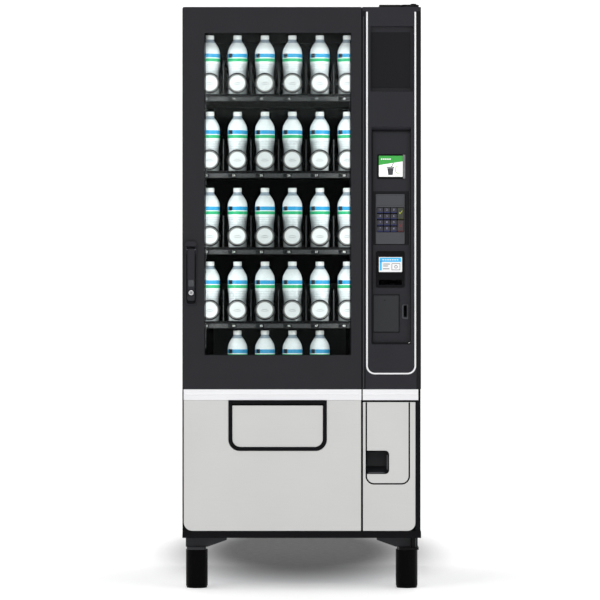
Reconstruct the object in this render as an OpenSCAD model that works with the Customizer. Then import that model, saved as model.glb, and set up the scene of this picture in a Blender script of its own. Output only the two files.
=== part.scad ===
// Glass-front snack vending machine, in millimetres.
// Origin: centre of the footprint on the floor. +Z up, the door faces -Y, +X is the door's hinge side.

/* [Overall] */
// Width of the door
body_w = 750; // [746:1:756]
// Depth from the handle's lever to the rear bumpers
body_d = 890; // [880:1:920]
// Height of the cabinet's underside above the floor
leg_h = 158.5; // [150:0.5:180]
// Height of the cabinet
cabinet_h = 1670; // [1660:1:1690]
// Width of one leg post
leg_w = 69; // [60:1:70]

/* [Door] */
// Thickness of the door, fascia included
door_t = 58; // [56:1:60]
// How far the lever stands proud of the door
lever_proud = 15; // [12:1:18]
// Thickness of a glass pane
glass_t = 4; // [3:0.5:5]
// Radius of the hinge pins
hinge_pin_r = 5; // [4:0.5:6]
// Radial clearance of a running pin
running_clearance = 0.06; // [0.03:0.01:0.09]

/* [Trays] */
// Distance between neighbouring columns
column_pitch = 88; // [86:1:88]
// Depth of a tray, front to back
tray_d = 600; // [590:5:610]
// Height of a tray's dividers
divider_h = 104; // [90:1:110]
// Radius of the coil wire's centre line
coil_r = 36; // [34:0.5:37]
// Radius of the coil wire
wire_r = 2; // [1.5:0.25:2.5]
// Number of turns behind the front bottle
coil_turns = 6; // [4:1:6]

/* [Bottles] */
// Radius of a bottle
bottle_r = 32; // [30:0.5:32]
// Height of a bottle with its cap
bottle_h = 193; // [180:1:200]
// Height of a bottle's cap
cap_h = 16; // [12:1:18]

/* [Keypad] */
// Distance between key columns
key_pitch_x = 21.5; // [21:0.5:22]
// Distance between key rows
key_pitch_z = 19.6; // [19:0.2:20]
// Travel of a key
key_travel = 1.5; // [1:0.1:2]

/* [Hidden] */
$fn = 64;

gap = 0.1;                                  // between separate solids of one body
half_w = body_w / 2;
back_y = body_d / 2;
door_y = -back_y + lever_proud;             // front plane of the door
door_back = door_y + door_t;
door_bottom = leg_h + 2;
door_top = leg_h + cabinet_h;

// Cabinet
skin = 2;
cab_x = half_w - 2;
cab_y = [door_back + 12, back_y - 7];       // side sheets, front to back
cab_top = door_top - 1;
foot_h = 6;
liner_x = [-338, 190];                      // refrigerated compartment
liner_z = [585, 1787];
divider_x = [190, 212];                     // insulated wall to the electronics bay
deck_y = -255;                              // front edge of the compartment's floor
evaporator_y = cab_y[1] - 84;               // its front face, behind the trays

// Door openings
window_x = [-305.4, 154.6];
window_z = [735, 1747];
seam_x = 189;                               // joint of window fascia and control column
belt_z = [593.5, 627.5];                    // crossbar under the window
fascia_t = 3;
column_t = 20;
column_x = [seam_x + 1.6, half_w];
edge_r = 12;                                // rounded outer edge of the column

// Delivery opening
flap_x = [-218.2, 66.5];
flap_z = [446.2, 578.7];
surround_x = [-230, 78.3];
surround_z = [434.3, 593];
flap_pivot = [door_y + 10, 572];
flap_pin_r = 3;
bin_x = [-240, 90];
bin_z = [424, 575];
cup_x = [202.9, 274];
cup_z = [362, 434.6];

// Door hinge and handle
hinge_x = 352;
hinge_y = door_y + 38;
lever_x = [-359, -335];
lever_z = [905, 1069];
lever_pivot = [door_y - 7, 1066];
lever_pin_r = 2;
lock_pos = [-347, 931];
lock_r = 8;

// Columns of product
tray_z = [1563, 1318, 1074, 838, 617];
tray_y0 = -272;
column_x0 = -294;
columns = [0:5];
axis_h = coil_r + wire_r + 0.5;             // a turning coil clears the tray's pan
coil_tilt = 30;                             // two leans turn a hexagon onto itself
coil_pitch = 4 * coil_r * sin(coil_tilt);
ring_y = 10;                                // front ring, behind the tray's front
bottle_y = ring_y + wire_r + bottle_r + 1.5;
ring_r = 31;
helix_y = bottle_y + bottle_r + 5;
coil_end = helix_y + coil_turns * coil_pitch;

// Control column
slot_x = [219, 343];                        // long recess
slot_z = [769, 1439];
slot_depth = 14;
keypad_x = [232.5, 323.6];
keypad_z = [1084, 1241];
key_x0 = 246.3;
key_z0 = 1189.7;
face_y = door_y + slot_depth;               // floor of the long recess

// ---------- helpers ----------

// Box between two corners, each argument a [low, high] pair
module block(x, y, z) {
    translate([x[0], y[0], z[0]]) cube([x[1] - x[0], y[1] - y[0], z[1] - z[0]]);
}

// What a corner of radius r loses, at the origin with the rectangle towards +X +Y
module corner_waste(r) {
    difference() {
        translate([-1, -1]) square(r + 1);
        translate([r, r]) circle(r);
    }
}

// Rectangle with one radius per corner: low left, low right, high right, high left
module round_rect(w, h, r) {
    difference() {
        square([w, h]);
        if (r[0] > 0) corner_waste(r[0]);
        if (r[1] > 0) translate([w, 0]) mirror([1, 0]) corner_waste(r[1]);
        if (r[2] > 0) translate([w, h]) mirror([1, 0]) mirror([0, 1]) corner_waste(r[2]);
        if (r[3] > 0) translate([0, h]) mirror([0, 1]) corner_waste(r[3]);
    }
}

// Upright plate facing -Y, with rounded corners seen from the front
module upright(x, y, z, r = [0, 0, 0, 0]) {
    translate([x[0], y[1], z[0]]) rotate([90, 0, 0])
        linear_extrude(y[1] - y[0]) round_rect(x[1] - x[0], z[1] - z[0], r);
}

// Flat piece with rounded corners seen from above
module plan(x, y, z, r = [0, 0, 0, 0]) {
    translate([x[0], y[0], z[0]])
        linear_extrude(z[1] - z[0]) round_rect(x[1] - x[0], y[1] - y[0], r);
}

module rod_x(x, y, z, r) {
    translate([x[0], y, z]) rotate([0, 90, 0]) cylinder(h = x[1] - x[0], r = r);
}

module rod_y(x, y, z, r) {
    translate([x, y[1], z]) rotate([90, 0, 0]) cylinder(h = y[1] - y[0], r = r);
}

module rod_z(x, y, z, r) {
    translate([x, y, z[0]]) cylinder(h = z[1] - z[0], r = r);
}

// Outline in the XZ plane, extruded from y[0] to y[1]
module profile_y(y, points) {
    translate([0, y[1], 0]) rotate([90, 0, 0]) linear_extrude(y[1] - y[0]) polygon(points);
}

// ---------- cabinet ----------

module cabinet_panels() {
    color("#26262a") {
        flange_y = [cab_y[0], cab_y[0] + skin];
        inner = cab_x - skin - gap;
        z = [leg_h, cab_top];
        for (side = [0, 1]) mirror([side, 0, 0]) block([cab_x - skin, cab_x], cab_y, z);
        block([-inner, inner], cab_y, [cab_top - skin, cab_top]);
        block([-inner, liner_x[0] - 4], flange_y, [z[0] + 8, liner_z[1] + 4]);
        block([inner - 30, inner], flange_y, [z[0] + 8, liner_z[1] + 4]);
        block([-inner, inner], flange_y, [liner_z[1] + 4 + gap, cab_top - skin - gap]);
    }
}

module rear_panel() {
    grille_z = [leg_h + 4, 480];
    sheet_y = [cab_y[1], cab_y[1] + skin];
    color("#2a2a2e") {
        block([-cab_x, cab_x], sheet_y, [grille_z[1] + gap, cab_top]);
        difference() {
            block([-cab_x, cab_x], sheet_y, grille_z);
            for (row = [0:10], side = [-1, 1])
                translate([side * 165, 0, 210 + 22 * row])
                    block([-130, 130], [sheet_y[0] - 1, sheet_y[1] + 1], [0, 9]);
        }
        for (side = [-1, 1], z = [240, 1700])
            rod_y(side * 330, [sheet_y[1] + gap, back_y], z, 18);
    }
}

module base_pan() {
    color("#303034") {
        difference() {
            block([-cab_x + skin + gap, cab_x - skin - gap], [cab_y[0] + 1, cab_y[1] - 1],
                [leg_h, leg_h + 3]);
            for (x = [-250, -150, -50, 50])
                block([x, x + 60], [cab_y[0] + 60, cab_y[0] + 80], [leg_h - 1, leg_h + 4]);
        }
    }
}

module legs() {
    front = [half_w - 9 - leg_w / 2, cab_y[0] - 7.5];
    rear = [half_w - 29, cab_y[1] - 30];
    rear_r = 20;
    bracket_y = [front[1] - 12.5, front[1] + leg_w / 2];
    post_top = leg_h - 37.5;
    inner = front[0] - leg_w / 2;
    outer = front[0] + leg_w / 2;
    color("#141416") for (side = [0, 1]) mirror([side, 0, 0]) {
        rod_z(front[0], front[1], [foot_h + gap, post_top], leg_w / 2);
        rod_z(front[0], front[1], [0, foot_h], leg_w / 2 - 2);
        // gusset up to the cabinet's base
        profile_y(bracket_y, [[inner, post_top + 8 + gap], [outer, post_top + 8 + gap],
            [outer, leg_h], [inner - 60, leg_h], [inner - 60, leg_h - 8]]);
        rod_z(rear[0], rear[1], [foot_h + gap, leg_h - 12], rear_r);
        rod_z(rear[0], rear[1], [0, foot_h], rear_r - 2);
        block([rear[0] - 60, rear[0] + rear_r], [rear[1] - 30, rear[1] + 24],
            [leg_h - 12 + gap, leg_h]);
    }
    // cap on the left leg; the lower hinge plate caps the right one
    color("#1b1b1e") plan([-outer + 3, -inner - 6], [front[1] - leg_w / 2, front[1] + leg_w / 2],
        [post_top + gap, post_top + 8], [14, 14, 0, 0]);
}

module hinge_brackets() {
    upper = [door_top + 1.5, door_top + 9.5];
    lower = [leg_h - 37.4, leg_h - 29.5];
    pin_depth = 18;
    plate_y = [hinge_y - 17, cab_y[0] + 27];
    color("#1b1b1e") {
        block([half_w - 131, hinge_x - 40.5], plate_y + [6, 0], upper);
        union() {
            plan([hinge_x - 40, half_w - 6], plate_y, upper, [16, 16, 0, 0]);
            rod_z(hinge_x, hinge_y, [door_top - 2 - pin_depth, upper[0] + 1], hinge_pin_r);
            rod_z(hinge_x, hinge_y, [upper[1] - 1, upper[1] + 3.5], 9);
        }
        union() {
            plan([hinge_x - 47, half_w - 6], plate_y, lower, [14, 14, 0, 0]);
            rod_z(hinge_x, hinge_y, [lower[1] - 1, door_bottom + 1 + pin_depth], hinge_pin_r);
            rod_z(hinge_x, hinge_y, [lower[1] - 1, leg_h + 1], 8);
        }
    }
}

module insulation() {
    outer = cab_x - skin - gap;
    top = cab_top - skin - gap;
    y = [cab_y[0] + skin + gap, cab_y[1] - 45];
    color("#e9e4d4") {
        block([-outer, liner_x[0]], y, [545, liner_z[1] - gap]);
        block([divider_x[0], divider_x[1]], y, [leg_h + 3 + gap, liner_z[1] - gap]);
        block([-outer, divider_x[1]], y, [liner_z[1], top]);
        block([liner_x[0] + gap, divider_x[0] - gap], [deck_y, y[1]], [545, liner_z[0]]);
        block([-outer, divider_x[1]], [y[1] + gap, cab_y[1] - gap], [545, top]);
    }
}

module tray_rails() {
    y = [tray_y0 + 20, tray_y0 + tray_d];
    color("#8d9094") for (z = tray_z) {
        block([liner_x[0] + gap, liner_x[0] + 16], y, [z - 5, z - 3]);
        block([liner_x[1] - 16, liner_x[1] - gap], y, [z - 5, z - 3]);
    }
}

module cooling_unit() {
    base = leg_h + 3;
    color("#3a3c40") {
        block([-360, 170], [-200, 385], [base + gap, base + 6]);
        // compressor
        union() {
            rod_z(60, -20, [base + 20, base + 170], 85);
            translate([60, -20, base + 170]) sphere(60);
        }
        for (dx = [-60, 60], dy = [-60, 60])
            rod_z(60 + dx, -20 + dy, [base + 6 + gap, base + 20 - gap], 12);
        // condenser with its shroud around the fan
        block([-330, -30], [250, 310], [base + 10, base + 310]);
        difference() {
            block([-330, -30], [310 + gap, 420], [base + 10, base + 310]);
            rod_y(-180, [300, 425], base + 160, 132);
        }
        // fan motor on its bracket
        rod_y(-180, [318, 366], base + 160, 38);
        // evaporator in the product compartment
        block([-300, 150], [evaporator_y, evaporator_y + 38], [liner_z[0] + 60, liner_z[0] + 380]);
        // discharge and suction pipes
        rod_z(-320, 200, [base + 6 + gap, 545 - gap], 6);
        rod_z(-290, 200, [base + 6 + gap, 545 - gap], 9);
    }
}

module condenser_fan() {
    z = leg_h + 163;
    color("#17181a") union() {
        rod_y(-180, [366.5, 400], z, 30);
        for (blade = [0:4])
            translate([-180, 385, z]) rotate([0, 72 * blade, 0])
                translate([20, 0, 0]) rotate([35, 0, 0]) translate([0, -1.5, -28])
                    cube([104, 3, 56]);
    }
}

module control_box() {
    color("#4b5a50") {
        block([240, 368], [120, 330], [700, 1000]);
        block([240, 368], [60, 330], [1060, 1180]);
        block([214, 240 - gap], [100, 340], [690, 1190]);
    }
}

// ---------- trays, coils and bottles ----------

module tray(row) {
    z = tray_z[row];
    side = 3;
    x = [liner_x[0] + side, liner_x[1] - side];
    back = tray_y0 + tray_d;
    color("#2c2c2f") {
        block(x, [tray_y0 + 2, back], [z - 2.8, z]);
        for (i = [0, 6]) {
            low = i == 0 ? x[0] : x[1] - 1.5;
            block([low, low + 1.5], [tray_y0 + 2, back], [z + gap, z + 60]);
        }
        for (i = [1:5]) {
            edge = column_x0 + (i - 0.5) * column_pitch;
            block([edge - 1, edge + 1], [tray_y0 + 4, back - 20], [z + gap, z + divider_h]);
        }
        // price rail across the front
        block(x, [tray_y0, tray_y0 + 2 - gap], [z - 21, z - 3]);
        block(x, [tray_y0, tray_y0 + 2 - gap], [z - 3 + gap, z + 3]);
        for (i = columns) {
            // coil motor
            c = column_x0 + i * column_pitch;
            block([c - 27, c + 27], [back - 18, back], [z + gap, z + 72]);
            rod_y(c, [tray_y0 + coil_end + 10.3, back - 18 - gap], z + axis_h, 6);
        }
    }
}

// Section of the wire, a hexagon
module wire() {
    circle(wire_r, $fn = 6);
}

// Half a turn of wire between the coil's top and bottom; the first starts at the side.
// Its plane leans by coil_tilt one way and then the other, so two halves meet at the top face to
// face. At the bottom they stop a tenth of a degree short, which leaves the wire in one-turn lengths.
module half_turn(i) {
    side = i % 2 == 0 ? 1 : -1;
    start = i == 0 ? 90 : 0;
    end = 179.9;
    translate([0, (i + 0.5) * coil_pitch / 2, 0]) rotate([side * coil_tilt, 0, 0])
        rotate([0, 0, side * 90]) rotate([0, -90, 0])
            rotate([0, 0, start]) rotate_extrude(angle = end - start)
                translate([coil_r, 0]) wire();
}

// A coil for one column: the front ring and link pass the first bottle, the turns follow
module coil(row, i) {
    link_x = (ring_r + coil_r) / 2 + 0.5;
    translate([column_x0 + i * column_pitch, tray_y0, tray_z[row] + axis_h]) union() {
        translate([0, ring_y, 0]) rotate([90, 0, 0])
            rotate_extrude() translate([ring_r, 0]) wire();
        translate([-link_x, helix_y + coil_pitch / 4, 0]) rotate([90, 0, 0])
            linear_extrude(helix_y + coil_pitch / 4 - ring_y) wire();
        translate([0, helix_y, 0]) for (half = [0:2 * coil_turns - 1]) half_turn(half);
        translate([0, coil_end, 0]) linear_extrude(coil_r * cos(coil_tilt)) wire();
        rod_y(0, [coil_end - 3, coil_end + 10], 0, 5);
    }
}

// White pusher disc inside the front ring
module pusher_disc(row, i) {
    rod_y(column_x0 + i * column_pitch, [tray_y0 + ring_y - 1.5, tray_y0 + ring_y + 1],
        tray_z[row] + axis_h, 28.7);
}

module coils(row, list) {
    color("#5a5c60") for (i = list) coil(row, i);
    color("white") for (i = list) pusher_disc(row, i);
}

module bottle(row, i) {
    waist = bottle_r - 2.6;
    shoulder = bottle_h - cap_h - 36;
    translate([column_x0 + i * column_pitch, tray_y0 + bottle_y, tray_z[row] + 0.2]) {
        rotate_extrude() polygon([[0, 0], [bottle_r - 6, 0], [bottle_r - 2.6, 5], [waist, 20],
            [waist, 60], [bottle_r, 74], [bottle_r, shoulder - 12], [bottle_r - 4, shoulder],
            [13, bottle_h - cap_h - 2], [13, bottle_h - cap_h], [0, bottle_h - cap_h]]);
        translate([0, 0, bottle_h - cap_h]) cylinder(h = cap_h, r = 15);
    }
}

module bottles(row, list) {
    color("#dcebf2") for (i = list) bottle(row, i);
}

// ---------- door ----------

module door_frame() {
    y = [door_y + fascia_t + gap, door_back];
    y_column = [door_y + column_t + gap, door_back];
    z = [door_bottom + 1, door_top - 2];
    bore_r = hinge_pin_r + running_clearance;
    color("#1d1d20") {
        block([-half_w + 2, window_x[0] - 6.6], y, z);
        block([window_x[1] + 6.4, seam_x + 1], y, z);
        difference() {
            block([330, half_w - 2], y_column, z);
            rod_z(hinge_x, hinge_y, [z[1] - 20, z[1] + 1], bore_r);
            rod_z(hinge_x, hinge_y, [z[0] - 1, z[0] + 20], bore_r);
        }
        rail_x = [window_x[0] - 6.6 + gap, window_x[1] + 6.4 - gap];
        block(rail_x, y, [window_z[1] + 6, z[1]]);
        block(rail_x, y, [593 + gap, window_z[0] - 7]);
        block(rail_x, y, [z[0], z[0] + 22]);
        column_rail_x = [seam_x + 1 + gap, 330 - gap];
        block(column_rail_x, y_column, [z[1] - 40, z[1]]);
        block(column_rail_x, y_column, [z[0], z[0] + 22]);
        block(column_rail_x, y_column, [593, 627]);
        // inner skin around the delivery bin
        skin_y = [door_back - 2, door_back];
        skin_z = [z[0] + 22 + gap, 593];
        block([rail_x[0], bin_x[0] - gap], skin_y, skin_z);
        block([bin_x[1] + gap, rail_x[1]], skin_y, skin_z);
        block(bin_x, skin_y, [skin_z[0], bin_z[0] - gap]);
    }
}

module door_gasket() {
    y = [door_back + gap, cab_y[0] - 0.3];
    x = [-365, 335];
    z = [172, door_top - 12];
    w = 16;
    color("#101012") {
        block([x[0], x[0] + w], y, z);
        block([x[1] - w, x[1]], y, z);
        block([x[0] + w + gap, x[1] - w - gap], y, [z[1] - w, z[1]]);
        block([x[0] + w + gap, x[1] - w - gap], y, [z[0], z[0] + w]);
    }
}

module door_lights() {
    z = [window_z[0] + 20, window_z[1] - 20];
    color("#f2f6ff") {
        block([window_x[0] + 1, window_x[0] + 8], [door_y + 28, door_y + 38], z);
        block([window_x[1] - 8, window_x[1] - 1], [door_y + 28, door_y + 38], z);
    }
}

module window_glass() {
    x = [window_x[0] - 5.6, window_x[1] + 5.4];
    z = [window_z[0] - 6, window_z[1] + 5];
    color("#a8c4cc", 0.35) {
        block(x, [door_y + 6, door_y + 6 + glass_t], z);
        block(x, [door_back - 8 - glass_t, door_back - 8], z);
    }
}

module window_fascia() {
    z = [belt_z[1] + 0.2, door_top];
    color("#323236") {
        y = [door_y, door_y + fascia_t];
        block([-half_w, window_x[0]], y, z);
        block([window_x[1], seam_x - 1.5], y, z);
        block([window_x[0] + gap, window_x[1] - gap], y, [window_z[1], z[1]]);
        block([window_x[0] + gap, window_x[1] - gap], y, [z[0], window_z[0]]);
    }
}

module control_fascia() {
    z = [belt_z[1] + 0.2, door_top];
    reach = [door_y - 1, face_y];
    color("#2a2a2f") difference() {
        plan(column_x, [door_y, door_y + column_t], z, [0, edge_r, 0, 0]);
        upright([216, 351], reach, [1563, 1768], [4, 4, 4, 4]);
        upright(slot_x, reach, slot_z, [4, 4, 4, 4]);
        // ramp into the long recess
        translate([slot_x[0], 0, slot_z[1]]) rotate([90, 0, 90])
            linear_extrude(slot_x[1] - slot_x[0])
                polygon([[door_y - 1, 16], [door_y, 14], [face_y, 0.5], [face_y, -1], [door_y - 1, -1]]);
        // cut-outs for the display, keypad, validator and coin slot
        upright([242, 318], [door_y, face_y + 20], [1295, 1362], [2, 2, 2, 2]);
        upright([keypad_x[0] + 3, keypad_x[1] - 3], [door_y, face_y + 20],
            [keypad_z[0] + 30, keypad_z[1] - 30], [2, 2, 2, 2]);
        upright([237, 320], [door_y, face_y + 20], [951, 1058], [2, 2, 2, 2]);
        block([321, 330], [door_y, face_y + 20], [856, 890]);
    }
}

module bright_trim() {
    y = [door_y - 1, door_y - gap];
    legs_x = [[201.8, 208.7], [353.4, 359.4]];
    z = [674.5, 1813];
    bar = 5.5;
    r = 27;
    color("#e8e8ee") {
        for (leg = legs_x) block(leg, y, [z[0] + r, z[1]]);
        block([legs_x[0][0] + r, legs_x[1][1] - r], y, [z[0], z[0] + bar]);
        for (end = [0, 1]) {
            outer = end == 0 ? legs_x[0][0] : legs_x[1][1];
            translate([outer, y[1], z[0]]) mirror([end, 0, 0]) rotate([90, 0, 0])
                linear_extrude(y[1] - y[0]) difference() {
                    round_rect(r - gap, r - gap, [r - gap, 0, 0, 0]);
                    translate([r, r]) circle(r - bar - 0.5);
                }
        }
        // crossbars
        block([-half_w + 4, seam_x - 1.7], [door_y - 1.5, door_y + fascia_t], belt_z);
        block([column_x[0] + 1, half_w - 9], [door_y - 1.5, door_y + fascia_t], belt_z);
    }
}

module lower_panels() {
    y = [door_y, door_y + fascia_t];
    z = [183, belt_z[0] - 0.4];
    color("#cfcfcd") {
        left_x = [-half_w + 4.3, seam_x - 1.7];
        r = 27;
        upright([left_x[0], surround_x[0] - gap], y, z, [r, 0, 0, 0]);
        upright([surround_x[1] + gap, left_x[1]], y, z);
        block([surround_x[0], surround_x[1]], y, [z[0], surround_z[0] - 0.2]);
        // right panel, in pieces round the coin cup
        right_x = [column_x[0] + 0.4, 357];
        around_z = [cup_z[0] - gap, cup_z[1] + gap];
        upright(right_x, y, [z[0], around_z[0] - gap], [0, 25, 0, 0]);
        upright([right_x[0], cup_x[0] - gap], y, around_z);
        upright([cup_x[1] + gap, right_x[1]], y, around_z);
        upright(right_x, y, [around_z[1] + gap, z[1]]);
    }
    color("#101012") {
        block([-half_w, half_w], [door_y + fascia_t - 2, door_y + fascia_t], [door_bottom, z[0] - 0.2]);
        block([357.2, half_w - 2], y, z);
        block([half_w - 8.8, half_w - 2], y, belt_z);
        block([-half_w, -half_w + 3.8], y, [z[0], belt_z[1]]);
    }
}

module delivery_bin() {
    wall = 2.5;
    x = bin_x;
    z = bin_z;
    back = deck_y - 7;
    band = 11;
    y = [door_y - 3, door_y + 5.5];
    color("#141417") {
        // surround on the door's face
        upright([surround_x[0], surround_x[0] + band], y, [surround_z[0] + 35, surround_z[1]]);
        upright([surround_x[1] - band, surround_x[1]], y, [surround_z[0] + 35, surround_z[1]]);
        block([surround_x[0] + 35, surround_x[1] - 35], y, [surround_z[0], surround_z[0] + band]);
        for (end = [0, 1])
            translate([surround_x[end], y[1], surround_z[0]]) mirror([end, 0, 0]) rotate([90, 0, 0])
                linear_extrude(y[1] - y[0]) difference() {
                    round_rect(35 - gap, 35 - gap, [35 - gap, 0, 0, 0]);
                    translate([35, 35]) circle(35 - band);
                }
        block([surround_x[0] + band + gap, surround_x[1] - band - gap],
            y, [flap_z[1] + 1.5, surround_z[1]]);
        // bin behind the door
        block([x[0], x[0] + wall], [y[1] + 4, back], z);
        block([x[1] - wall, x[1]], [y[1] + 4, back], z);
        block([x[0] + wall + gap, x[1] - wall - gap], [back - wall, back], z);
        block([x[0] + wall + gap, x[1] - wall - gap], [y[1] + 4, back - wall - gap],
            [z[0], z[0] + wall]);
        // ears that carry the flap's pin
        for (ear_x = [[flap_x[0] - 8, flap_x[0] - 1], [flap_x[1] + 1, flap_x[1] + 8]])
            difference() {
                block(ear_x, [y[1] + gap, y[1] + 14], [flap_pivot[1] - 8, flap_pivot[1] + 8]);
                rod_x([ear_x[0] - 1, ear_x[1] + 1], flap_pivot[0], flap_pivot[1],
                    flap_pin_r + running_clearance);
            }
    }
}

module delivery_flap() {
    y = [door_y + 1, door_y + 4];
    color("#c4c4c2") union() {
        upright([flap_x[0], flap_x[1]], y, [flap_z[0], flap_z[1] - 2], [26, 26, 2, 2]);
        rod_x([flap_x[0] - 7, flap_x[1] + 7], flap_pivot[0], flap_pivot[1], flap_pin_r);
        for (x = [flap_x[0] + 20, flap_x[1] - 24])
            block([x, x + 4], [y[0] + 1, flap_pivot[0] + 3], [flap_pivot[1] - 4, flap_pivot[1] + 3]);
    }
}

module coin_return_cup() {
    y = [door_y - 1, door_back + 6];
    wall = 3;
    color("#0e0e10") difference() {
        upright(cup_x, y, cup_z, [0, 12, 12, 0]);
        upright([cup_x[0] + wall, cup_x[1] - wall], [y[0] - 1, y[1] - wall],
            [cup_z[0] + wall, cup_z[1] - wall], [0, 9, 9, 0]);
    }
}

// ---------- controls ----------

module blank_plates() {
    color("#242428") {
        // reader cover low in the recess
        upright([219.5, 305.4], [face_y - 2, face_y - gap], [808, 923], [3, 3, 3, 3]);
        // cover in the upper pocket
        upright([217, 341], [face_y - 3, face_y - gap], [1574, 1750], [2, 2, 2, 2]);
    }
}

module display_screen() {
    y = [face_y - 3, face_y - gap];
    color("#48484e") {
        upright([238, 241.9], y, [1291, 1364]);
        upright([318.1, 326], y, [1291, 1364]);
        block([242, 318], y, [1362.2, 1366]);
        block([242, 318], y, [1289, 1294.8]);
    }
    color("#eaf2ec") block([242.4, 317.6], [face_y - 1.5, face_y + 5], [1295.4, 1361.6]);
}

module keypad_plate() {
    y = [face_y - 4, face_y - gap];
    x = [key_x0 - key_pitch_x / 2 - 0.6, key_x0 + 3.5 * key_pitch_x + 0.6];
    z = [key_z0 - 3.5 * key_pitch_z - 1.5, key_z0 + key_pitch_z / 2 + 1.5];
    color("#4a4b50") difference() {
        upright(keypad_x, y, keypad_z, [4, 4, 4, 4]);
        upright(x, [y[0] - 1, y[1] + 1], z);
    }
}

// One key in the grid, rows counted from the top; tall keys span two rows
module key(column, row, rows = 1) {
    w = 19.5;
    h = 16.6;
    x = key_x0 + column * key_pitch_x;
    top = key_z0 - row * key_pitch_z + h / 2;
    bottom = top - h - (rows - 1) * key_pitch_z;
    back = face_y - 0.5 - key_travel;
    upright([x - w / 2, x + w / 2], [back - 2.5, back], [bottom, top], [2, 2, 2, 2]);
}

module number_key(column, row) {
    color("#3e3f46") key(column, row);
}

module bill_validator() {
    color("#17171a") {
        y = [face_y - 6, face_y - gap];
        // bezel around the mouth, in pieces so that the slot stays open
        upright([234, 323], y, [971.2, 1061], [0, 0, 4, 4]);
        upright([234, 323], y, [947.4, 955], [4, 4, 0, 0]);
        block([234, 243], y, [955.1, 971.1]);
        block([314, 323], y, [955.1, 971.1]);
        // note path behind the fascia
        block([238, 319], [face_y, -335], [973, 1057]);
        block([238, 319], [face_y, -335], [952, 956]);
    }
}

module coin_unit() {
    color("#1c1c1f") {
        y = [face_y - 4, face_y - gap];
        block([315, 320.9], y, [848, 895]);
        block([330.1, 336], y, [848, 895]);
        block([321, 330], y, [848, 855.9]);
        block([321, 330], y, [890.1, 895]);
        // coin mechanism behind the fascia
        block([236, 312], [door_y + column_t + 1, -345], [700, 880]);
    }
}

module handle_base() {
    x = [-365.7, -330];
    z = [892, 1093];
    y = [door_y - 10, door_y - gap];
    color("#2b2b30") {
        upright(x, [y[0] + 8, y[1]], z, [8, 8, 8, 8]);
        upright(x, [y[0], y[0] + 8 - gap], [lever_z[1] + 4, z[1]], [0, 0, 8, 8]);
        for (ear_x = [[x[0], lever_x[0] - 0.8], [lever_x[1] + 0.8, x[1]]])
            difference() {
                block(ear_x, [y[0], y[0] + 8 - gap], [lever_z[1] - 20, lever_z[1] + 4 - gap]);
                rod_x([ear_x[0] - 1, ear_x[1] + 1], lever_pivot[0], lever_pivot[1],
                    lever_pin_r + running_clearance);
            }
    }
}

module handle_lever() {
    y = [-back_y, door_y - 4.6];
    color("#38383d") difference() {
        union() {
            upright(lever_x, y, lever_z, [6, 6, 6, 6]);
            rod_x([lever_x[0] - 5, lever_x[1] + 3.5], lever_pivot[0], lever_pivot[1], lever_pin_r);
        }
        rod_y(lock_pos[0], [y[0] - 1, y[1] + 1], lock_pos[1], lock_r + running_clearance);
    }
}

module lock_cylinder() {
    y = [-back_y, door_y - 5];
    color("silver") difference() {
        rod_y(lock_pos[0], y, lock_pos[1], lock_r);
        block([lock_pos[0] - 0.8, lock_pos[0] + 0.8], [y[0] - 1, y[0] + 4],
            [lock_pos[1] - 4.5, lock_pos[1] + 4.5]);
    }
}

cabinet_panels();
rear_panel();
base_pan();
legs();
hinge_brackets();
insulation();
tray_rails();
cooling_unit();
condenser_fan();
control_box();
for (row = [0:4]) {
    full = row < 4;
    tray(row);
    coils(row, full ? [0:5] : [1:4]);
    bottles(row, full ? [0:5] : [1:4]);
}
coils(4, [0]);  // coil_5_left
coils(4, [5]);  // coil_5_right
door_frame();
door_gasket();
door_lights();
window_glass();
window_fascia();
control_fascia();
bright_trim();
lower_panels();
blank_plates();
delivery_bin();
delivery_flap();
coin_return_cup();
keypad_plate();
display_screen();
bill_validator();
coin_unit();
handle_base();
handle_lever();
lock_cylinder();
for (n = [1:9])
    number_key((n - 1) % 3, floor((n - 1) / 3));
number_key(0, 3);  // key_star
number_key(1, 3);  // key_0
number_key(2, 3);  // key_hash
color("#b9cf3a") key(3, 0, 2);  // key_confirm
color("#c0392b") key(3, 2, 2);  // key_cancel
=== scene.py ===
"""Looks of the glass-front vending machine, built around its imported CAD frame.

Shapes are in millimetres, in the CAD's own frame, and Build makes its vertices in Blender's metres.
The stage, the lights and the camera are in metres.
"""

import math

import bmesh
import bpy
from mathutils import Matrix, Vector

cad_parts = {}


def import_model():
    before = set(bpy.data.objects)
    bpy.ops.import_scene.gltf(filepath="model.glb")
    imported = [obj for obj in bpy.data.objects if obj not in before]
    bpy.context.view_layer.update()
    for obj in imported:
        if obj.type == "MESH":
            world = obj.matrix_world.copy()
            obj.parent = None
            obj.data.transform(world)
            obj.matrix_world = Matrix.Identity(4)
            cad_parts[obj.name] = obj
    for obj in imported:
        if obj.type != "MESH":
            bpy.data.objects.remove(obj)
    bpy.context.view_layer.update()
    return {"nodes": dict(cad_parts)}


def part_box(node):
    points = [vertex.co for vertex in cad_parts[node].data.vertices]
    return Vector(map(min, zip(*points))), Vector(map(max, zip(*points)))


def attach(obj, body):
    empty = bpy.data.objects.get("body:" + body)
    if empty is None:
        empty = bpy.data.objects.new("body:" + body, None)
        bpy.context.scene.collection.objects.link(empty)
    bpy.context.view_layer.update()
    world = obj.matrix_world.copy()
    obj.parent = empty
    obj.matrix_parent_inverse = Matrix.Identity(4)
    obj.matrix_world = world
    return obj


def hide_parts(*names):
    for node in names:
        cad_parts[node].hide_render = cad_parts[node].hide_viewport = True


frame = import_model()
MM = 0.001

# ---------------- places, from the frame


def box(node):
    """A CAD node's lowest and highest corners at rest, in millimetres."""
    return [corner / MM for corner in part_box(node)]


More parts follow.
